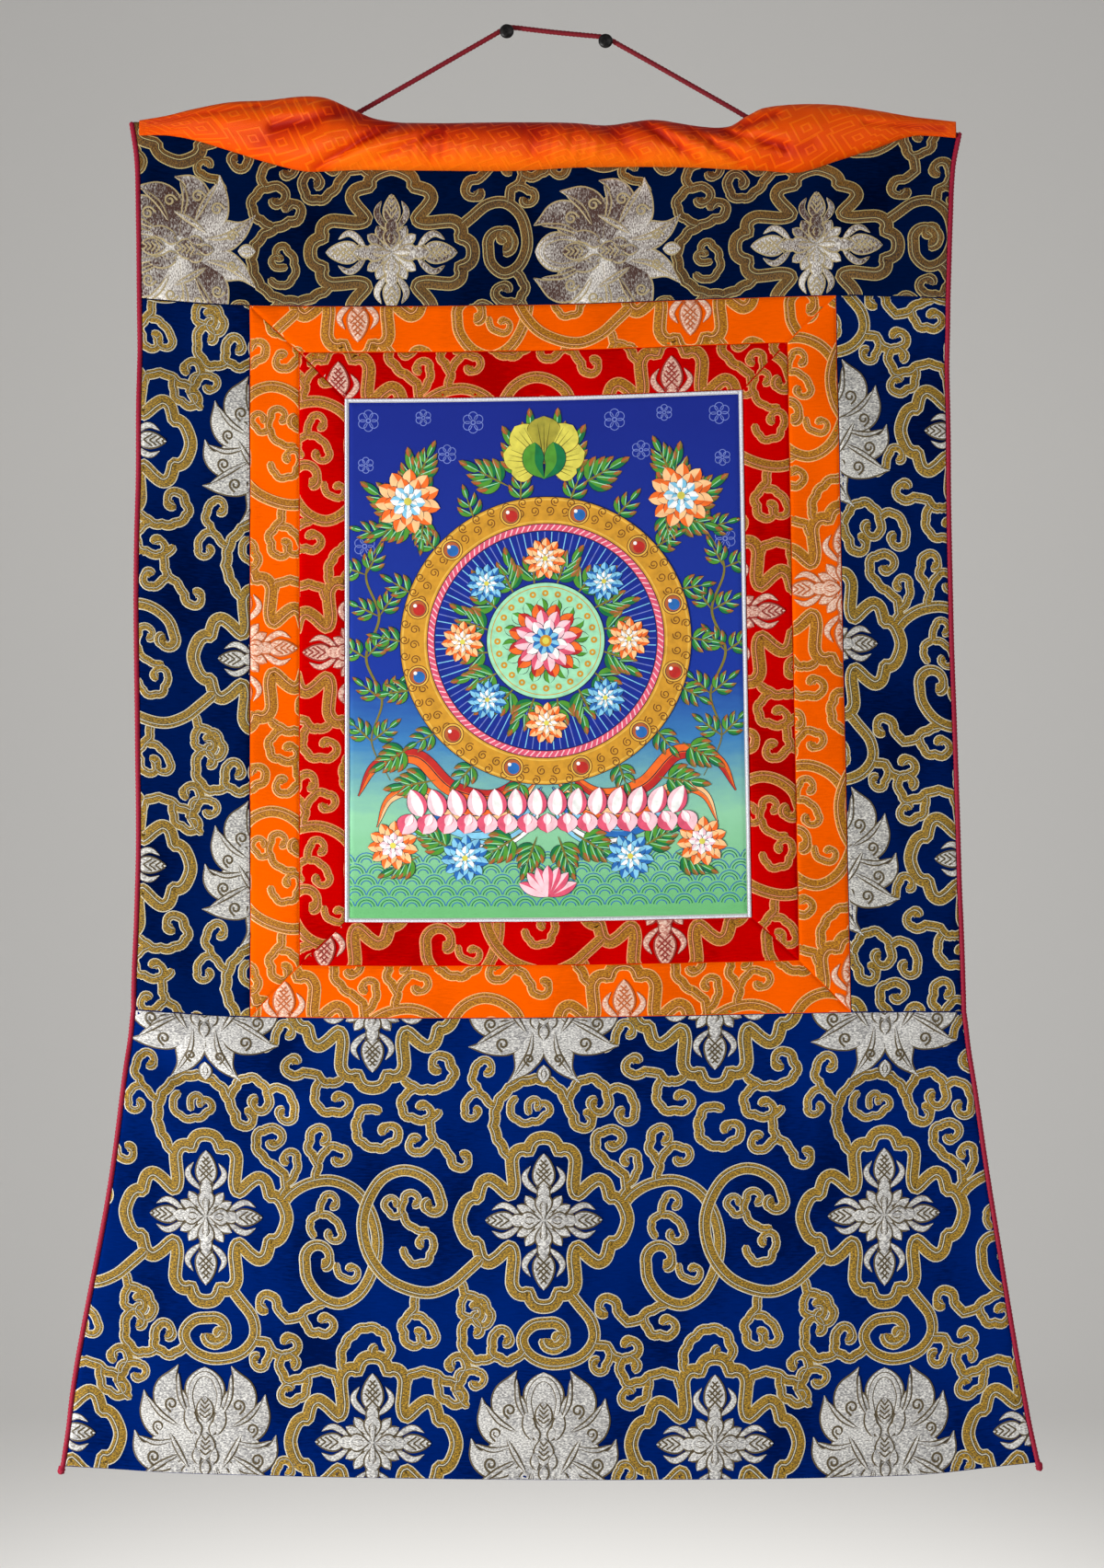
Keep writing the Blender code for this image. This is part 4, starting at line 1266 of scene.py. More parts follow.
def make_brocades():
    """All the brocade cloths, each with its woven pattern laid on it."""
    cell = brocade_cell()
    made = [brocade_materials(name, *rest) for name, rest in BROCADES.items()]
    navy, lit_navy, shaded_navy, orange, red = made
    frame_outer = (FRAME_HALF_WIDTH, UPPER_SEAM_Z, LOWER_SEAM_Z)
    red_outer = (RED_HALF_WIDTH, RED_TOP_Z, RED_BOTTOM_Z)
    window = (EDGED_WIDTH / 2, EDGED_TOP_Z, EDGED_BOTTOM_Z)
    flared = [
        (-CLOTH_HALF_WIDTH, LOWER_SEAM_Z),
        (CLOTH_HALF_WIDTH, LOWER_SEAM_Z),
        (BOTTOM_HALF_WIDTH, HEM_Z),
        (-BOTTOM_HALF_WIDTH, HEM_Z),
    ]
    half = (CELL_WIDTH / 2, CELL_HEIGHT / 2)
    cloths = [
        # node, plan, materials, slot, where a medallion lies, whether the cloth is turned
        ("top_panel", upright(-CLOTH_HALF_WIDTH, CLOTH_HALF_WIDTH, SCROLL_TOP_Z, UPPER_SEAM_Z), shaded_navy,
         "navy_brocade", (-116.0, -163.0), True),
        ("side_panel_left", upright(-CLOTH_HALF_WIDTH, -FRAME_HALF_WIDTH, UPPER_SEAM_Z, LOWER_SEAM_Z), navy,
         "navy_brocade", (-206.0, -474.0), False),
        ("side_panel_right", upright(FRAME_HALF_WIDTH, CLOTH_HALF_WIDTH, UPPER_SEAM_Z, LOWER_SEAM_Z), navy,
         "navy_brocade", (209.0, -469.0), False),
        ("bottom_panel", flared, lit_navy, "navy_brocade", (-4.0, -903.0), False),
    ]
    strips = {
        # side: a medallion of the orange strip, a medallion of the red strip
        "top": ((113.0, -180.0), (98.0, -296.0)),
        "right": ((227.0, -427.0), (138.0, -443.0)),
        "bottom": ((56.0, -771.0), (87.0, -661.0)),
        "left": ((-232.0, -465.0), (-141.0, -468.0)),
    }
    frames = [("orange", mitred(frame_outer, red_outer), orange), ("red", mitred(red_outer, window), red)]
    for side, medallions in strips.items():
        shift = half if side in ("left", "right") else (0, 0)
        for (colour, plans, materials), at in zip(frames, medallions):
            node, slot = f"{colour}_strip_{side}", f"{colour}_brocade"
            cloths.append((node, plans[side], materials, slot, np.add(at, shift), False))
    for node, plan, (sheet_materials, pattern_materials), slot, origin, turned in cloths:
        panel = Panel(node, plan)
        cloth = cloth_sheet(panel, sheet_materials)
        pattern = tiled(panel, cell, origin, turned)
        weaving = laid_on(panel, f"{node}_weaving", pattern, pattern_materials)


def paint_finish(name, colour):
    """Matte opaque paint, a little uneven from the brush."""
    made = Finish(f"{name}_paint", 0.7, 0.25)
    brush = made.noise(made.weave_place(), 0.16, 3)
    made.colour(made.ramp(brush, [(0.25, scaled(colour, 0.78)), (0.5, colour), (0.75, scaled(colour, 1.15))]))
    made.bump(brush, 0.00006)
    return made.material


def canvas_finish():
    """The painted ground: royal blue that turns to pale green below, a little uneven, on fine cotton."""
    made = Finish("painted_ground", 0.72, 0.25)
    place = made.weave_place()
    height = made.axis(place, "Y")
    brush = made.noise(made.weave_place((1, 2.5, 1)), 0.05, 4)
    share = made.math("MULTIPLY", made.math("SUBTRACT", height, EDGED_BOTTOM_Z), 1 / EDGED_HEIGHT)
    share = made.math("ADD", share, made.math("MULTIPLY", made.math("SUBTRACT", brush, 0.5), 0.06))
    stops = [(0.02, srgb(110, 190, 120)), (0.20, srgb(150, 214, 172)), (0.34, srgb(60, 130, 190)),
             (0.46, srgb(12, 52, 160)), (0.95, srgb(6, 34, 140))]
    made.colour(made.ramp(share, stops))
    cotton = made.bands(place, 0.7, "X", 0.5)
    made.bump(made.math("ADD", cotton, made.bands(place, 0.7, "Y", 0.5)), 0.00008)
    return made.material


# Paints of the canvas
PAINTS = {
    "ink": (26, 30, 52),
    "umber": (110, 66, 24),
    "ochre": (204, 146, 40),
    "gold": (226, 176, 70),
    "olive": (122, 112, 40),
    "leaf": (78, 146, 44),
    "deep_green": (12, 112, 62),
    "mint": (158, 220, 178),
    "lemon": (216, 206, 84),
    "russet": (176, 92, 46),
    "red": (186, 38, 32),
    "orange": (238, 106, 34),
    "peach": (252, 196, 138),
    "rose": (220, 84, 112),
    "pink": (248, 200, 208),
    "white": (244, 244, 240),
    "sky": (130, 198, 228),
    "azure": (36, 104, 178),
    "night": (8, 36, 138),
    "line_blue": (112, 128, 196),
}
PAINT = {name: number for number, name in enumerate(PAINTS)}
FINE_LINE = 0.45
RING_CENTRE = (0, 14)


def two_tone(one_side, other_side, line="ink"):
    """Lanes of a painted shape with a fine outline and a darker side."""
    return [(-1.0, PAINT[line]), (-1.0, PAINT[one_side]), (-0.15, PAINT[other_side]), (1.0, PAINT[line])]


def annulus(layer, centre, inner, outer, paint, lift, sides=96):
    """A flat painted ring, or a disc if its inner radius is tiny."""
    turn = np.arange(sides) * math.tau / sides
    radii = np.linspace(inner, outer, max(2, math.ceil((outer - inner) / 4) + 1))
    rim = np.stack([np.cos(turn), np.sin(turn)], axis=1)
    points = (radii[:, None, None] * rim).reshape(-1, 2) + centre
    points = np.concatenate([points, np.full((len(points), 1), lift)], axis=1)
    faces = grid_faces(len(radii), sides, closed=True)
    layer.add(points, points * (1, 1, 0), faces, np.full(len(faces), PAINT[paint]))


def painted_petal(layer, points, width, one_side, other_side, lift, widest=0.5, line="ink", step=2.4):
    """A flat painted petal or leaf."""
    petal(layer, points, width, widest, lift, two_tone(one_side, other_side, line), 0.05, step, FINE_LINE)


def stroke(layer, line, width, paint, lift, taper=True):
    """A brush line, pointed at its ends unless it is even."""
    widths = leaf_widths(len(line), width, 0.5, 0.25) if taper else width
    ribbon(layer, line, widths, [(-1.0, PAINT[paint]), (1.0, PAINT[paint])], lift, 0.02, outline=0.1)


# Rings of petals of a painted flower
BLOSSOM_RINGS = [
    # petals, their foot, tip and width as shares of the flower's radius, whether in the outer paints
    (11, 0.15, 1.0, 0.46, True),
    (9, 0.1, 0.74, 0.40, True),
    (8, 0.05, 0.54, 0.34, False),
    (5, 0.0, 0.32, 0.24, False),
]


def blossom(layer, centre, radius, outer, middle, heart, lift):
    """A painted flower. Outer and middle are the paints (darker side, lighter side) of its petals."""
    centre = np.array(centre, float)
    for ring, (count, foot, tip, width, in_outer) in enumerate(BLOSSOM_RINGS):
        tones = outer if in_outer else middle
        for i in range(count):
            angle = (i + ring * 0.5) * 360 / count
            points = [polar(centre, angle, radius * foot), polar(centre, angle + 4, radius * tip)]
            painted_petal(layer, points, radius * width, *tones, lift + ring * 0.06 + i * 0.004, 0.62)
    annulus(layer, centre, 0.02, radius * 0.12, heart, lift + 0.3, 16)


def spray(layer, foot, angle, length, lift, pairs=3, bend=0.0):
    """A leaf spray with green leaves that turn brown at their tips."""
    foot = np.array(foot, float)
    for pair in range(pairs + 1):
        reach = length * (0.25 + 0.55 * pair / pairs)
        at = polar(foot, angle + bend * pair / pairs, reach * 0.8)
        for side in (-1, 1) if pair < pairs else (0,):
            lean = angle + bend * pair / pairs + side * (58 - 9 * pair)
            size = length * (0.46 - 0.05 * pair) if side else length * 0.42
            tip, middle = polar(at, lean - side * 14, size), polar(at, lean, size * 0.55)
            painted_petal(layer, [at, middle, tip], size * 0.42, "deep_green", "leaf", lift, 0.42)
            painted_petal(layer, [middle, tip], size * 0.26, "olive", "russet", lift + 0.03, 0.5, "umber")
            stroke(layer, spaced(np.array([at, tip]), 3.0), 0.7, "mint", lift + 0.06)
            lift += 0.008
    stroke(layer, line_through([foot, polar(foot, angle, length * 0.7)], 3.0), 1.6, "olive", lift + 0.05)


def lotus_row(layer, up, count, spacing, height, lift):
    """A row of pink and white upright petals over a row of drooping ones."""
    for i in range(-count, count + 1):
        x = i * spacing
        lean = i * 1.1
        droop = [(x, up), (x + lean * 0.6, up - height * 0.5), (x + lean, up - height * 0.8)]
        painted_petal(layer, droop, spacing * 1.15, "rose", "pink", lift + 0.01, 0.5)
        painted_petal(layer, droop[:2], spacing * 0.5, "pink", "white", lift + 0.05, 0.5, "rose")
    for i in range(-count, count):
        x = (i + 0.5) * spacing
        lean = (i + 0.5) * 1.3
        rise = [(x, up - height * 0.1), (x + lean * 0.5, up + height * 0.5), (x + lean, up + height)]
        painted_petal(layer, rise, spacing * 1.05, "rose", "pink", lift + 0.1, 0.45)
        painted_petal(layer, rise, spacing * 0.55, "white", "white", lift + 0.14, 0.42, "pink")


# Rings painted whole: inner radius, outer radius, paint, rise
RING_BANDS = [
    (84, 110.5, "ink", 0.0),
    (90, 110, "ochre", 0.02),
    (107.6, 109, "gold", 0.04),
    (91, 92.2, "gold", 0.04),
    (84.6, 89.4, "rose", 0.02),
]
# Discs of a set stone, one over another: radius, paint, rise
STONE_DISCS = [
    (8.4, "umber", 0.09),
    (7.8, "gold", 0.10),
    (6.6, "ink", 0.11),
    (6.1, "russet", 0.12),
]


def gold_ring(layer, lift):
    """The painted gold ring, with its curls, set stones and pink border."""
    for inner, outer, paint, rise in RING_BANDS:
        annulus(layer, RING_CENTRE, inner, outer, paint, lift + rise)
    for i in range(120):
        angle = i * 3
        bar = np.array([polar(RING_CENTRE, angle, 85), polar(RING_CENTRE, angle + 2, 89)])
        stroke(layer, spaced(bar, 2.0), 0.9, "pink", lift + 0.05, taper=False)
    curls = 54
    for i in range(curls):
        angle = i * 360 / curls
        for radius, side in ((96.2, 1), (103.6, -1)):
            at = polar(RING_CENTRE, angle + side * 1.6, radius)
            turned = polar(at, angle + 90 * side, 1.6)
            line = curled(spaced(np.array([at, turned]), 0.8), side, 3.4, 0.9, 1.35, 0.75)
            stroke(layer, line, 0.75, "umber", lift + 0.07, taper=False)
    for i in range(12):
        at = polar(RING_CENTRE, i * 30 + 15, 100)
        for radius, paint, rise in STONE_DISCS:
            annulus(layer, at, 0.02, radius, paint, lift + rise, 28)
        annulus(layer, at + (0.8, -0.8), 0.02, 4.4, "red" if i % 2 else "azure", lift + 0.13, 24)
        annulus(layer, at + (-2.2, 2.2), 0.02, 1.4, "white", lift + 0.14, 12)


# The rosette's ground: inner radius, outer radius, paint, rise
ROSETTE_BANDS = [
    (0.02, 45, "ink", 0.3),
    (0.02, 44.4, "mint", 0.32),
    (41.2, 41.8, "ochre", 0.34),
]
# Rings of petals of the rosette
ROSETTE_RINGS = [
    # petals, radius of their foot, radius of their tip, width, darker side, lighter side, rise
    (16, 20, 33, 9, "leaf", "mint", 0.40),
    (12, 12, 29, 11, "red", "orange", 0.46),
    (12, 8, 24, 10, "rose", "pink", 0.52),
    (8, 4, 17, 9, "pink", "white", 0.58),
    (8, 2, 11, 7, "azure", "sky", 0.64),
]


def rosette(layer, lift):
    """The rayed ground, leaf wreath, flowers and lotus rosette inside the ring."""
    annulus(layer, RING_CENTRE, 0.02, 84, "night", lift)
    for i in range(96):
        ray = np.array([polar(RING_CENTRE, i * 3.75, 50), polar(RING_CENTRE, i * 3.75, 83.5)])
        stroke(layer, spaced(ray, 4.0), 0.7, "sky" if i % 2 else "line_blue", lift + 0.02, taper=False)
    for i in range(16):
        foot = polar(RING_CENTRE, i * 22.5 + 11, 40)
        spray(layer, foot, i * 22.5 + 11 + 8, 38, lift + 0.1, 3, 14)
    for i in range(8):
        at = polar(RING_CENTRE, i * 45, 63)
        if i % 2:
            blossom(layer, at, 15, ("azure", "sky"), ("sky", "white"), "lemon", lift + 0.35)
        else:
            blossom(layer, at, 16, ("orange", "peach"), ("peach", "white"), "lemon", lift + 0.35)
    for inner, outer, paint, rise in ROSETTE_BANDS:
        annulus(layer, RING_CENTRE, inner, outer, paint, lift + rise)
    for i in range(24):
        at = polar(RING_CENTRE, i * 15, 36.5)
        annulus(layer, at, 0.9, 2.5, "ochre", lift + 0.36, 14)
    for count, foot, tip, width, one_side, other_side, rise in ROSETTE_RINGS:
        for i in range(count):
            angle = i * 360 / count + rise * 100
            points = [polar(RING_CENTRE, angle, foot), polar(RING_CENTRE, angle, tip)]
            painted_petal(layer, points, width, one_side, other_side, lift + rise, 0.55)
    annulus(layer, RING_CENTRE, 0.02, 4.6, "ochre", lift + 0.7, 24)
    annulus(layer, RING_CENTRE, 0.02, 2.6, "lemon", lift + 0.72, 20)


# Sprays outside the ring, right side: foot across, foot up, angle from up, length
OUTER_SPRAYS = [
    (10, 138, 28, 44),
    (26, 132, 62, 42),
    (8, 150, 4, 40),
    (96, 118, 10, 44),
    (104, 112, 55, 42),
    (98, 108, 110, 38),
    (92, 112, 175, 30),
    (102, -66, 122, 36),
    (98, 136, -25, 34),
    (84, -92, 100, 38),
    (20, -134, 122, 40),
    (8, -136, 160, 34),
    (70, -146, 60, 36),
    (96, -150, 118, 34),
]
# The stem up the right side of the picture
SIDE_VINE = [(118, -92), (132, -62), (124, -30), (136, 2), (126, 34), (136, 66), (122, 96), (108, 118)]
# Line flowers on the blue ground, right side: across, up, size
LINE_FLOWERS = [(54, 182, 8), (134, 184, 8), (74, 158, 7), (137, 88, 8), (136, 150, 6), (92, 186, 6)]
# Streamers, right side: paints and points
STREAMERS = [
    ("red", "orange", 13, [(12, -84), (40, -104), (72, -98), (98, -74), (128, -80), (142, -104)]),
    ("orange", "peach", 11, [(6, -92), (30, -116), (66, -118), (96, -100), (118, -106), (128, -128)]),
    ("azure", "sky", 12, [(4, -98), (24, -124), (56, -132), (84, -124), (104, -134), (112, -156)]),
    ("sky", "white", 8, [(2, -104), (14, -128), (38, -142), (62, -140), (76, -150)]),
]


def flower_garden(layer):
    """The motifs outside the ring."""
    for row in range(5):
        for i in range(-9 - row % 2, 10):
            centre = ((i + (row % 2) / 2) * 17, -190 + row * 8.5)
            for radius, paint in ((8.4, "azure"), (6.2, "deep_green"), (4.0, "azure")):
                arc = [polar(centre, a, radius) for a in range(-80, 81, 20)]
                stroke(layer, np.array(arc), 0.7, paint, 0.02 + row * 0.01, taper=False)
    for side in (-1, 1):
        for across, up, size in LINE_FLOWERS:
            at = np.array([side * across, up])
            for i in range(6):
                middle = polar(at, i * 60, size * 0.6)
                lobe = [polar(middle, i * 60 + a, size * 0.42) for a in range(-150, 151, 50)]
                stroke(layer, line_through(lobe, 1.4), 0.6, "line_blue", 0.02, taper=False)
            annulus(layer, at, size * 0.14, size * 0.26, "line_blue", 0.02, 14)
        for number, (one_side, other_side, width, points) in enumerate(STREAMERS):
            line = line_through([(side * x, up) for x, up in points], 3.0)
            widths = leaf_widths(len(line), width, 0.5, 0.12)
            lanes = two_tone(one_side, other_side)
            ribbon(layer, line, widths, lanes, 0.1 + 0.03 * number, 0.05, outline=FINE_LINE)
            stroke(layer, line, 0.8, "ink", 0.17 + 0.03 * number)
        for number, (across, up, angle, length) in enumerate(OUTER_SPRAYS):
            spray(layer, (side * across, up), side * angle, length, 0.24 + number * 0.01)
        blossom(layer, (side * 104, 122), 25, ("orange", "peach"), ("sky", "white"), "lemon", 0.5)
        blossom(layer, (side * 62, -152), 18, ("azure", "sky"), ("sky", "white"), "lemon", 0.5)
        blossom(layer, (side * 116, -142), 19, ("orange", "peach"), ("pink", "white"), "lemon", 0.5)
        vine = [(side * x, up) for x, up in SIDE_VINE]
        stroke(layer, line_through(vine, 3.0), 2.0, "olive", 0.2)
        for number, (x, up) in enumerate(vine[1:-1]):
            for lean in (-52, 46):
                spray(layer, (x, up), side * (lean + 6 * number), 27, 0.22, 2)
    for number in range(18):
        angle = number * 20 + 10
        spray(layer, polar(RING_CENTRE, angle, 106), angle + 12, 29, 0.3, 2)
    lotus_row(layer, -118, 7, 14.5, 19, 0.6)
    crown = (0, 150)
    for side in (-1, 1):
        for angle, length, width in ((0, 36, 26), (38, 36, 24), (76, 32, 22), (108, 26, 18)):
            points = [crown, polar(crown, side * angle, length * 0.6), polar(crown, side * angle, length)]
            painted_petal(layer, points, width, "lemon", "lemon", 0.62 - angle * 0.0005, 0.7, "umber")
            for vein in (-9, 0, 9):
                line = np.array([crown, polar(crown, side * angle + vein, length * 0.86)])
                stroke(layer, spaced(line, 4.0), 0.6, "olive", 0.7)
        bract = [(0, 138), (side * 8, 150), (side * 7, 166)]
        painted_petal(layer, bract, 17, "deep_green", "leaf", 0.74, 0.6)
    for angle in (-64, -40, -20, 0, 20, 40, 64):
        points = [(0, -182), polar((0, -182), angle, 24)]
        painted_petal(layer, points, 10, "rose", "pink", 0.7 - abs(angle) * 0.001, 0.55)


def make_painting():
    """The painted canvas: a lotus rosette in a gold ring, with flowers and leaves about it."""
    half_width = PAINTING_WIDTH / 2 + SEAM_GAP / 2
    top = EDGED_TOP_Z - EDGING_DIAMETER - SEAM_GAP * 1.5
    bottom = EDGED_BOTTOM_Z + EDGING_DIAMETER + SEAM_GAP * 1.5
    in_front = (BROCADE_THICKNESS - CANVAS_THICKNESS) / 2
    plan = upright(-half_width, half_width, top, bottom)
    panel = Panel("painting_canvas", plan, CANVAS_THICKNESS, in_front)
    back = reverse_side("canvas_reverse", srgb(196, 186, 162))
    cloth = cloth_sheet(panel, [canvas_finish(), back])
    layer = Layer()
    flower_garden(layer)
    rosette(layer, 0.45)
    gold_ring(layer, 0.5)
    points, _, faces, chosen = layer.arrays()
    points = points + (0, (top + bottom) / 2, 0)
    design = (points, points * (1, 1, 0), faces, chosen)
    paints = [paint_finish(name, srgb(*colour)) for name, colour in PAINTS.items()]
    picture = laid_on(panel, "painted_design", design, paints)


def close_ends(mesh, sides):
    """Fills a tube's open ends, of up to that many sides, and turns all its faces outward."""
    closed = bmesh.new()
    closed.from_mesh(mesh)
    bmesh.ops.holes_fill(closed, edges=closed.edges[:], sides=sides)
    bmesh.ops.recalc_face_normals(closed, faces=closed.faces[:])
    closed.to_mesh(mesh)
    closed.free()
    mesh.shade_smooth()


def twisted_tube(name, path, radii, strands, lay_length, materials, replaced, sides=12):
    """A cord of twisted strands along a path in millimetres, with round ends."""
    run = np.gradient(path, axis=0)
    run /= np.linalg.norm(run, axis=1)[:, None]
    out = np.array([0.0, -1.0, 0.0]) - run * (run @ [0.0, -1.0, 0.0])[:, None]
    out /= np.linalg.norm(out, axis=1)[:, None]
    beside = np.cross(run, out)
    angles = np.arange(sides) * math.tau / sides
    turned = angles[None, :] - (math.tau * distance_along(path) / lay_length)[:, None]
    radius = radii[:, None] * (1 - STRAND_DEPTH * np.abs(np.sin(turned * strands / 2)) ** 1.5)
    radius = radius * (1 + STRAND_DEPTH * 0.25)
    ring = out[:, None, :] * np.cos(angles)[:, None] + beside[:, None, :] * np.sin(angles)[:, None]
    points = (path[:, None, :] + ring * radius[:, :, None]).reshape(-1, 3) * MM
    faces = grid_faces(len(path), sides, closed=True)[:, TURNED_OVER]
    mesh = make_mesh(name, points, faces)
    close_ends(mesh, sides)
    return add_piece(name, mesh, materials, replaced)


def round_ends(radii, path, radius):
    """Radii that close in a half round at both ends."""
    reached = distance_along(path)
    from_end = np.minimum(reached, reached[-1] - reached)
    return radii * np.sqrt(np.clip(1 - (1 - np.minimum(1, (from_end + 0.15) / radius)) ** 2, 0, 1))


def make_edging():
    """The white twisted cord sewn round the painting, a length for each side."""
    white = [cord_finish("white_cord", srgb(222, 224, 232))]
    middle = EDGING_DIAMETER / 2
    x, high, low = EDGED_WIDTH / 2 - middle, EDGED_TOP_Z - middle, EDGED_BOTTOM_Z + middle
    short = x - EDGING_DIAMETER / 2 - SEAM_GAP
    tall = (high + EDGING_DIAMETER / 2, low - EDGING_DIAMETER / 2)
    runs = {
        "top": ((-short, high), (short, high)),
        "bottom": ((-short, low), (short, low)),
        "left": ((-x, tall[0]), (-x, tall[1])),
        "right": ((x, tall[0]), (x, tall[1])),
    }
    for side, ends in runs.items():
        line = spaced(np.array(ends, float), 0.75)
        path = hung_points(line[:, 0], line[:, 1], np.full(len(line), BROCADE_THICKNESS / 2 + 0.3)) / MM
        radii = round_ends(np.full(len(path), EDGING_DIAMETER / 2), path, 1.0)
        name = f"cord_edging_{side}"
        twisted_tube(f"{name}_twist", path, radii, 2, EDGING_LAY, white, [name], sides=10)


# The knotted end of the piping: distance below the hem, width as a share of the piping's
PIPING_KNOT = np.array([(-3.0, 1.0), (0.0, 1.08), (1.5, 1.45), (3.0, 1.60), (4.5, 1.45), (5.5, 0.90)])


def make_piping():
    """The crimson cord down each outer edge, knotted below the hem."""
    crimson = [cord_finish("crimson_piping", srgb(150, 8, 44))]
    for name, side in (("piping_left", -1), ("piping_right", 1)):
        heights = np.concatenate([np.arange(SCROLL_TOP_Z, HEM_Z, -0.95), HEM_Z - np.arange(0, 5.9, 0.45)])
        widths = np.interp(HEM_Z - heights, PIPING_KNOT[:, 0], PIPING_KNOT[:, 1])
        edge_z = np.maximum(heights, HEM_Z)
        middle = np.full(len(edge_z), BROCADE_THICKNESS / 2)
        edge = hung_points(side * half_width_at(edge_z), edge_z, middle) / MM
        path = edge.copy()
        path[:, 0] += side * (PIPING_DIAMETER / 2 * widths - SEAM_GAP)
        path[:, 2] += heights - edge_z
        radii = round_ends(PIPING_DIAMETER / 2 * widths, path, CORD_END_ROUND)
        twisted_tube(f"{name}_twist", path, radii, 3, CORD_LAY, crimson, [name])


def make_hanging_cord():
    """The hanging cord, twisted, taut over the nails."""
    crimson = [cord_finish("crimson_hanging_cord", srgb(122, 10, 26))]
    points = np.array([(x, -off_wall, z) for x, off_wall, z in CORD_ROUTE])
    reached = distance_along(points)
    at = np.linspace(0, reached[-1], round(reached[-1] / 0.9) + 1)
    path = np.stack([table_value(reached, points[:, axis], at) for axis in range(3)], axis=1)
    radii = round_ends(np.full(len(path), CORD_DIAMETER / 2), path, CORD_END_ROUND)
    cord = twisted_tube(
        "hanging_cord_twist", path, radii, 3, CORD_LAY, crimson, ["hanging_cord"]
    )


def make_nails():
    """Two round-headed nails."""
    black = [nail_finish()]
    profile = [(0.05, 0.0), (NAIL_SHANK_RADIUS, 0.0), (NAIL_SHANK_RADIUS, NAIL_LENGTH - NAIL_FILLET)]
    profile += [(NAIL_SHANK_RADIUS + 0.5, NAIL_LENGTH), (NAIL_HEAD_RADIUS * 0.9, NAIL_LENGTH)]
    for angle in np.radians(np.linspace(0, 88, 12)):
        dome = 0.15 + 0.85 * math.sin(angle)
        profile.append((NAIL_HEAD_RADIUS * math.cos(angle), NAIL_LENGTH + NAIL_HEAD_DOME * dome))
    profile = np.array(profile)
    angles = np.arange(NAIL_SIDES) * math.tau / NAIL_SIDES
    for name, side in (("nail_left", -1), ("nail_right", 1)):
        x = side * NAIL_X + profile[:, :1] * np.cos(angles)
        z = -side * NAIL_RISE + profile[:, :1] * np.sin(angles)
        y = -np.repeat(profile[:, 1:], NAIL_SIDES, axis=1)
        points = np.stack([x, y, z], axis=2).reshape(-1, 3) * MM
        mesh = make_mesh(f"{name}_turned", points, grid_faces(len(profile), NAIL_SIDES, closed=True))
        mesh.set_sharp_from_angle(angle=SHARP_ANGLE)
        add_piece(f"{name}_turned", mesh, black, [name])


COVER_SLICES = 600
COVER_FRONT_STEPS = 56
COVER_BACK_STEPS = 10
COVER_PUCKER = 0.32
COVER_RIPPLE = 0.25
# The gathered roll between the wings: its middle, half its width and how softly it ends
ROLL_X = -15.0
ROLL_HALF_WIDTH = 170.0
ROLL_SOFTNESS = 40.0
# Painted shade of the silk from 0 (dark) to 1 (light): its level on the flat, how much darker the top of the
# roll and lighter its underside are painted, the painted shade in a crease and the painted highlight on a
# ridge
FLAT_PAINTED_SHADE = 0.62
ROLL_PAINTED_SHADE = 1.1
CREASE_PAINTED_SHADE = 0.55
RIDGE_PAINTED_HIGHLIGHT = 0.08
# The silk's weave: its depth round the front, and the cosine and sine of its slant
SILK_DEPTH = 62.0
SILK_RUN = 0.91
SILK_RISE = 0.42


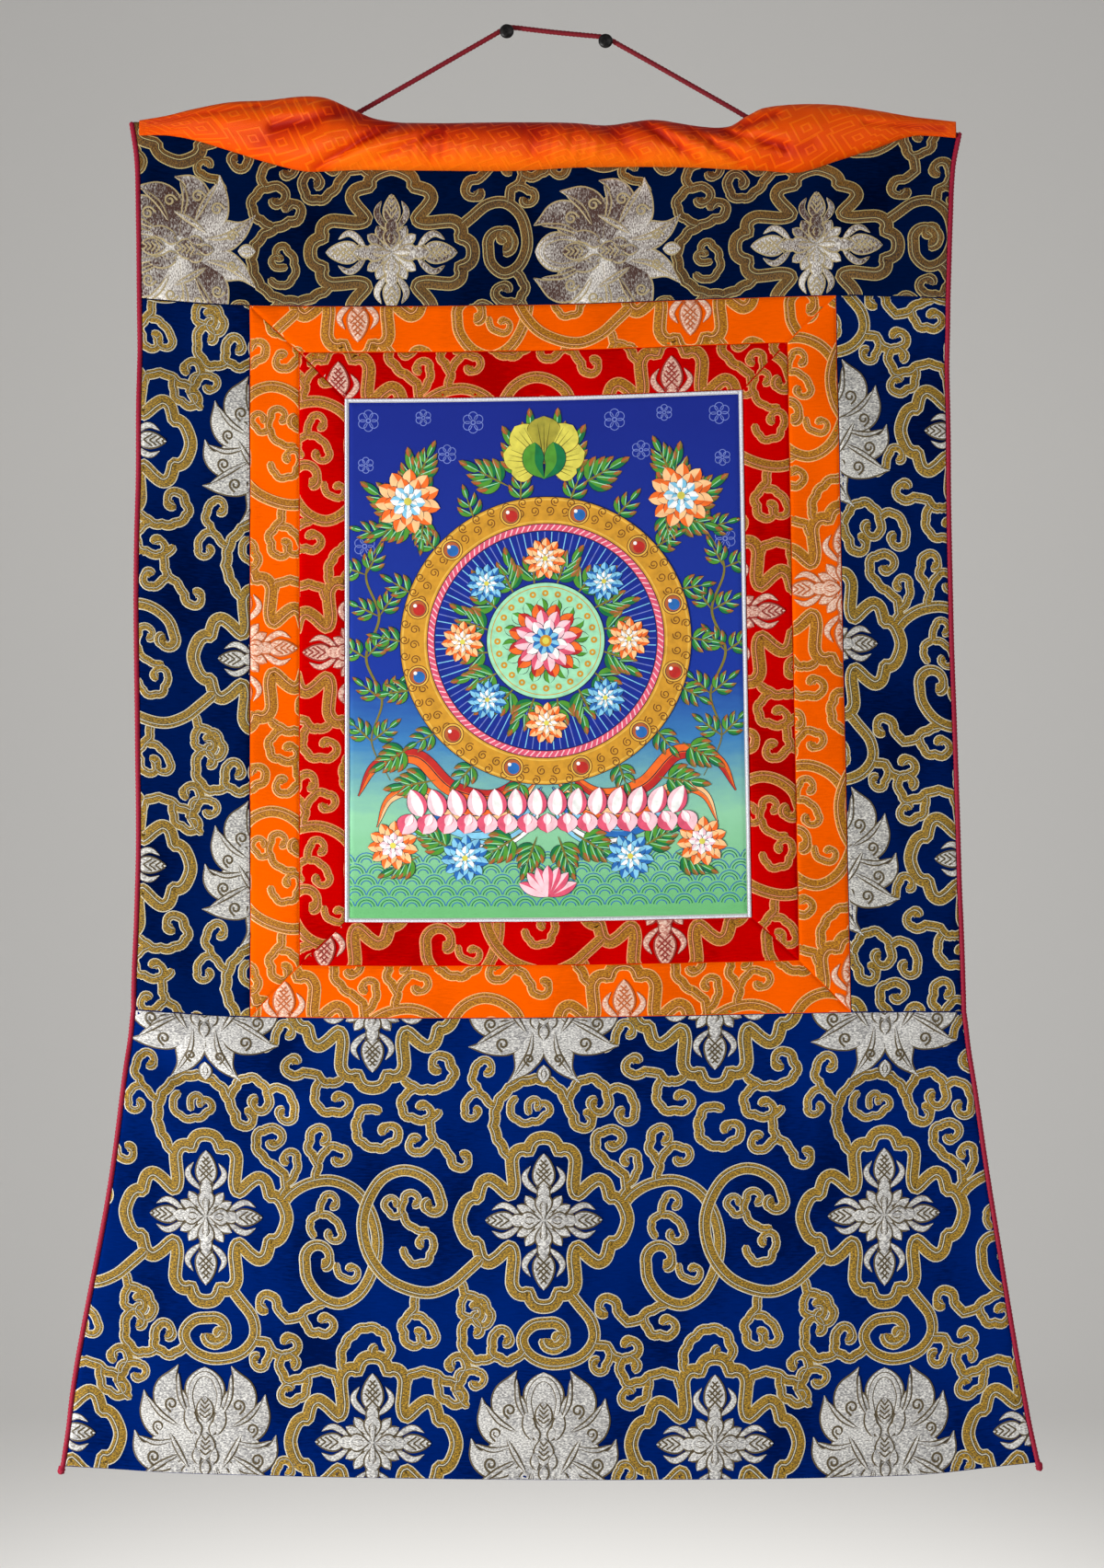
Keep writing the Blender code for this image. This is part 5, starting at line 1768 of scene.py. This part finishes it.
def make_dust_cover():
    """The gathered silk cover: a wing at each end and a twisted roll between."""
    keys = COVER_SECTIONS[:, 0]
    x = np.linspace(keys[0], keys[-1], COVER_SLICES + 1)
    top, bottom, belly = (table_value(keys, COVER_SECTIONS[:, i], x) for i in (1, 2, 3))
    turn = np.linspace(0, math.pi, COVER_FRONT_STEPS + 1)
    share = (1 - np.cos(turn)) / 2
    z = top[:, None] + (bottom - top)[:, None] * share
    bulge = np.sqrt(np.clip(4 * share * (1 - share), 0, 1)) * (0.9 + 0.2 * share)
    depth = COVER_EDGE_THICKNESS + (belly[:, None] - COVER_EDGE_THICKNESS) * bulge
    xs = np.repeat(x[:, None], len(share), axis=1)
    folds = fold_height(COVER_FOLDS, xs.ravel(), z.ravel()).reshape(z.shape)
    pucker = np.sin(xs * 0.47 + 1.6 * np.sin(z * 0.11 + xs * 0.02)) + 0.7 * np.sin(xs * 0.83 - z * 0.09)
    gathered = smooth((ROLL_HALF_WIDTH - np.abs(xs - ROLL_X)) / ROLL_SOFTNESS)
    folds = folds + COVER_PUCKER * pucker * gathered * (0.6 + 0.4 * np.sin(xs * 0.061 + 0.8))
    folds = folds + COVER_RIPPLE * np.sin(xs * 0.15 + z * 0.12) * np.sin(xs * 0.063 - z * 0.31)
    depth = depth + folds * bulge * np.minimum(1, belly / 12)[:, None]
    back = TOP_OFF_WALL + BROCADE_THICKNESS + COVER_BACK_GAP
    front_points = np.stack([xs, -back - np.maximum(depth, COVER_EDGE_THICKNESS), z], axis=2)
    across = np.linspace(0, 1, COVER_BACK_STEPS + 1)
    back_z = bottom[:, None] + (top - bottom)[:, None] * across
    back_x = np.repeat(x[:, None], len(across), axis=1)
    back_points = np.stack([back_x, np.full(back_z.shape, -back), back_z], axis=2)
    rings = np.concatenate([front_points, back_points], axis=1)
    slices, count = rings.shape[:2]
    faces = grid_faces(slices, count, closed=True)[:, TURNED_OVER]
    down = share * SILK_DEPTH
    # Painted shade: the roll darker on top and lighter below, creases darker and ridges lighter, kept in the
    # weave's third value
    crease_painted_shade = np.clip(-folds / 3.0, 0, 1) * bulge
    roll_painted_shade = FLAT_PAINTED_SHADE + (share - 0.55) * ROLL_PAINTED_SHADE * gathered
    painted_shade = np.clip(roll_painted_shade - CREASE_PAINTED_SHADE * crease_painted_shade + RIDGE_PAINTED_HIGHLIGHT * np.clip(folds / 2, 0, 1), 0, 1)
    along, rising = xs * SILK_RUN - down * SILK_RISE, xs * SILK_RISE + down * SILK_RUN
    front_weave = np.stack([along, rising, painted_shade], axis=2)
    back_weave = np.repeat(front_weave[:, -1:], len(across), axis=1)
    weave = np.concatenate([front_weave, back_weave], axis=1).reshape(-1, 3)
    places = rings.reshape(-1, 3) * MM
    mesh = make_mesh("dust_cover_silk", places, faces, attributes=[("weave", weave)])
    close_ends(mesh, count)
    cover = add_piece("dust_cover_silk", mesh, [silk_finish()], ["dust_cover"])


# The stage: floor, backdrop, lights and camera

CAMERA_LENS = 70.0
FRAME_HEIGHT = 1.2047
CAMERA_X = -0.0032
CAMERA_Z = -0.5723
CLOTH_Y = -0.006
SENSOR = 36.0
FLOOR_Z = -2.3
STAGE_FRONT_Y = -9.0
STAGE_HALF_WIDTH = 14.0
STAGE_CURVE = 3.0
BACKDROP_Y = 9.0
BACKDROP_TOP_Z = 9.0
SURROUND_STRENGTH = 0.4
MIDDLE = (0, 0, -0.6)
LIGHTS = [
    # name, place, what it is aimed at, size, power
    ("key", (-1.7, -1.1, -1.1), MIDDLE, 0.7, 54),
    ("fill", (1.7, -2.4, 0.1), MIDDLE, 1.6, 21),
    ("backdrop", (0, 3.4, -0.6), (0, BACKDROP_Y, 0.6), 3.0, 90),
    ("rear", (0.9, 2.6, 0.3), MIDDLE, 1.6, 22),
]


def make_camera():
    """A camera square to the scroll, as far off as its lens needs for the photograph's frame."""
    data = bpy.data.cameras.new("camera")
    data.lens = CAMERA_LENS
    data.sensor_width = SENSOR
    camera = bpy.data.objects.new("camera", data)
    camera.location = (CAMERA_X, CLOTH_Y - FRAME_HEIGHT * CAMERA_LENS / SENSOR, CAMERA_Z)
    camera.rotation_euler = (math.radians(90), 0, 0)
    bpy.context.scene.collection.objects.link(camera)
    bpy.context.scene.camera = camera


def make_stage():
    """A plain pale floor that curves up into a far backdrop."""
    made = Finish("pale_stage", 0.9, 0.1)
    made.shader.inputs["Base Color"].default_value = srgb(226, 224, 220)
    profile = [(STAGE_FRONT_Y, FLOOR_Z), (BACKDROP_Y - STAGE_CURVE, FLOOR_Z)]
    for angle in np.radians(np.linspace(5, 90, 18)):
        back, up = STAGE_CURVE * math.sin(angle), STAGE_CURVE * (1 - math.cos(angle))
        profile.append((BACKDROP_Y - STAGE_CURVE + back, FLOOR_Z + up))
    profile.append((BACKDROP_Y, BACKDROP_TOP_Z))
    points = [(x, y, z) for y, z in profile for x in (-STAGE_HALF_WIDTH, STAGE_HALF_WIDTH)]
    faces = [(2 * i, 2 * i + 1, 2 * i + 3, 2 * i + 2) for i in range(len(profile) - 1)]
    floor = bpy.data.objects.new("floor", make_mesh("floor", points, faces))
    floor.data.materials.append(made.material)
    bpy.context.scene.collection.objects.link(floor)


def area_light(name, place, aim, size, power):
    """A soft square light."""
    data = bpy.data.lights.new(name, "AREA")
    data.size = size
    data.energy = power
    light = bpy.data.objects.new(name, data)
    light.location = place
    light.rotation_euler = (Vector(aim) - Vector(place)).to_track_quat("-Z", "Y").to_euler()
    bpy.context.scene.collection.objects.link(light)


def make_lights():
    """Soft studio light, strongest from the lower left."""
    scene = bpy.context.scene
    scene.view_settings.view_transform = "Standard"
    world = bpy.data.worlds.new("studio")
    world.use_nodes = True
    background = world.node_tree.nodes["Background"]
    background.inputs["Color"].default_value = srgb(236, 236, 238)
    background.inputs["Strength"].default_value = SURROUND_STRENGTH
    scene.world = world
    for light in LIGHTS:
        area_light(*light)


def main():
    """Dresses the frame."""
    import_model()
    make_camera()
    make_hanging_cord()
    make_stage()
    make_lights()
    make_brocades()
    make_painting()
    make_edging()
    make_piping()
    make_nails()
    make_dust_cover()


main()
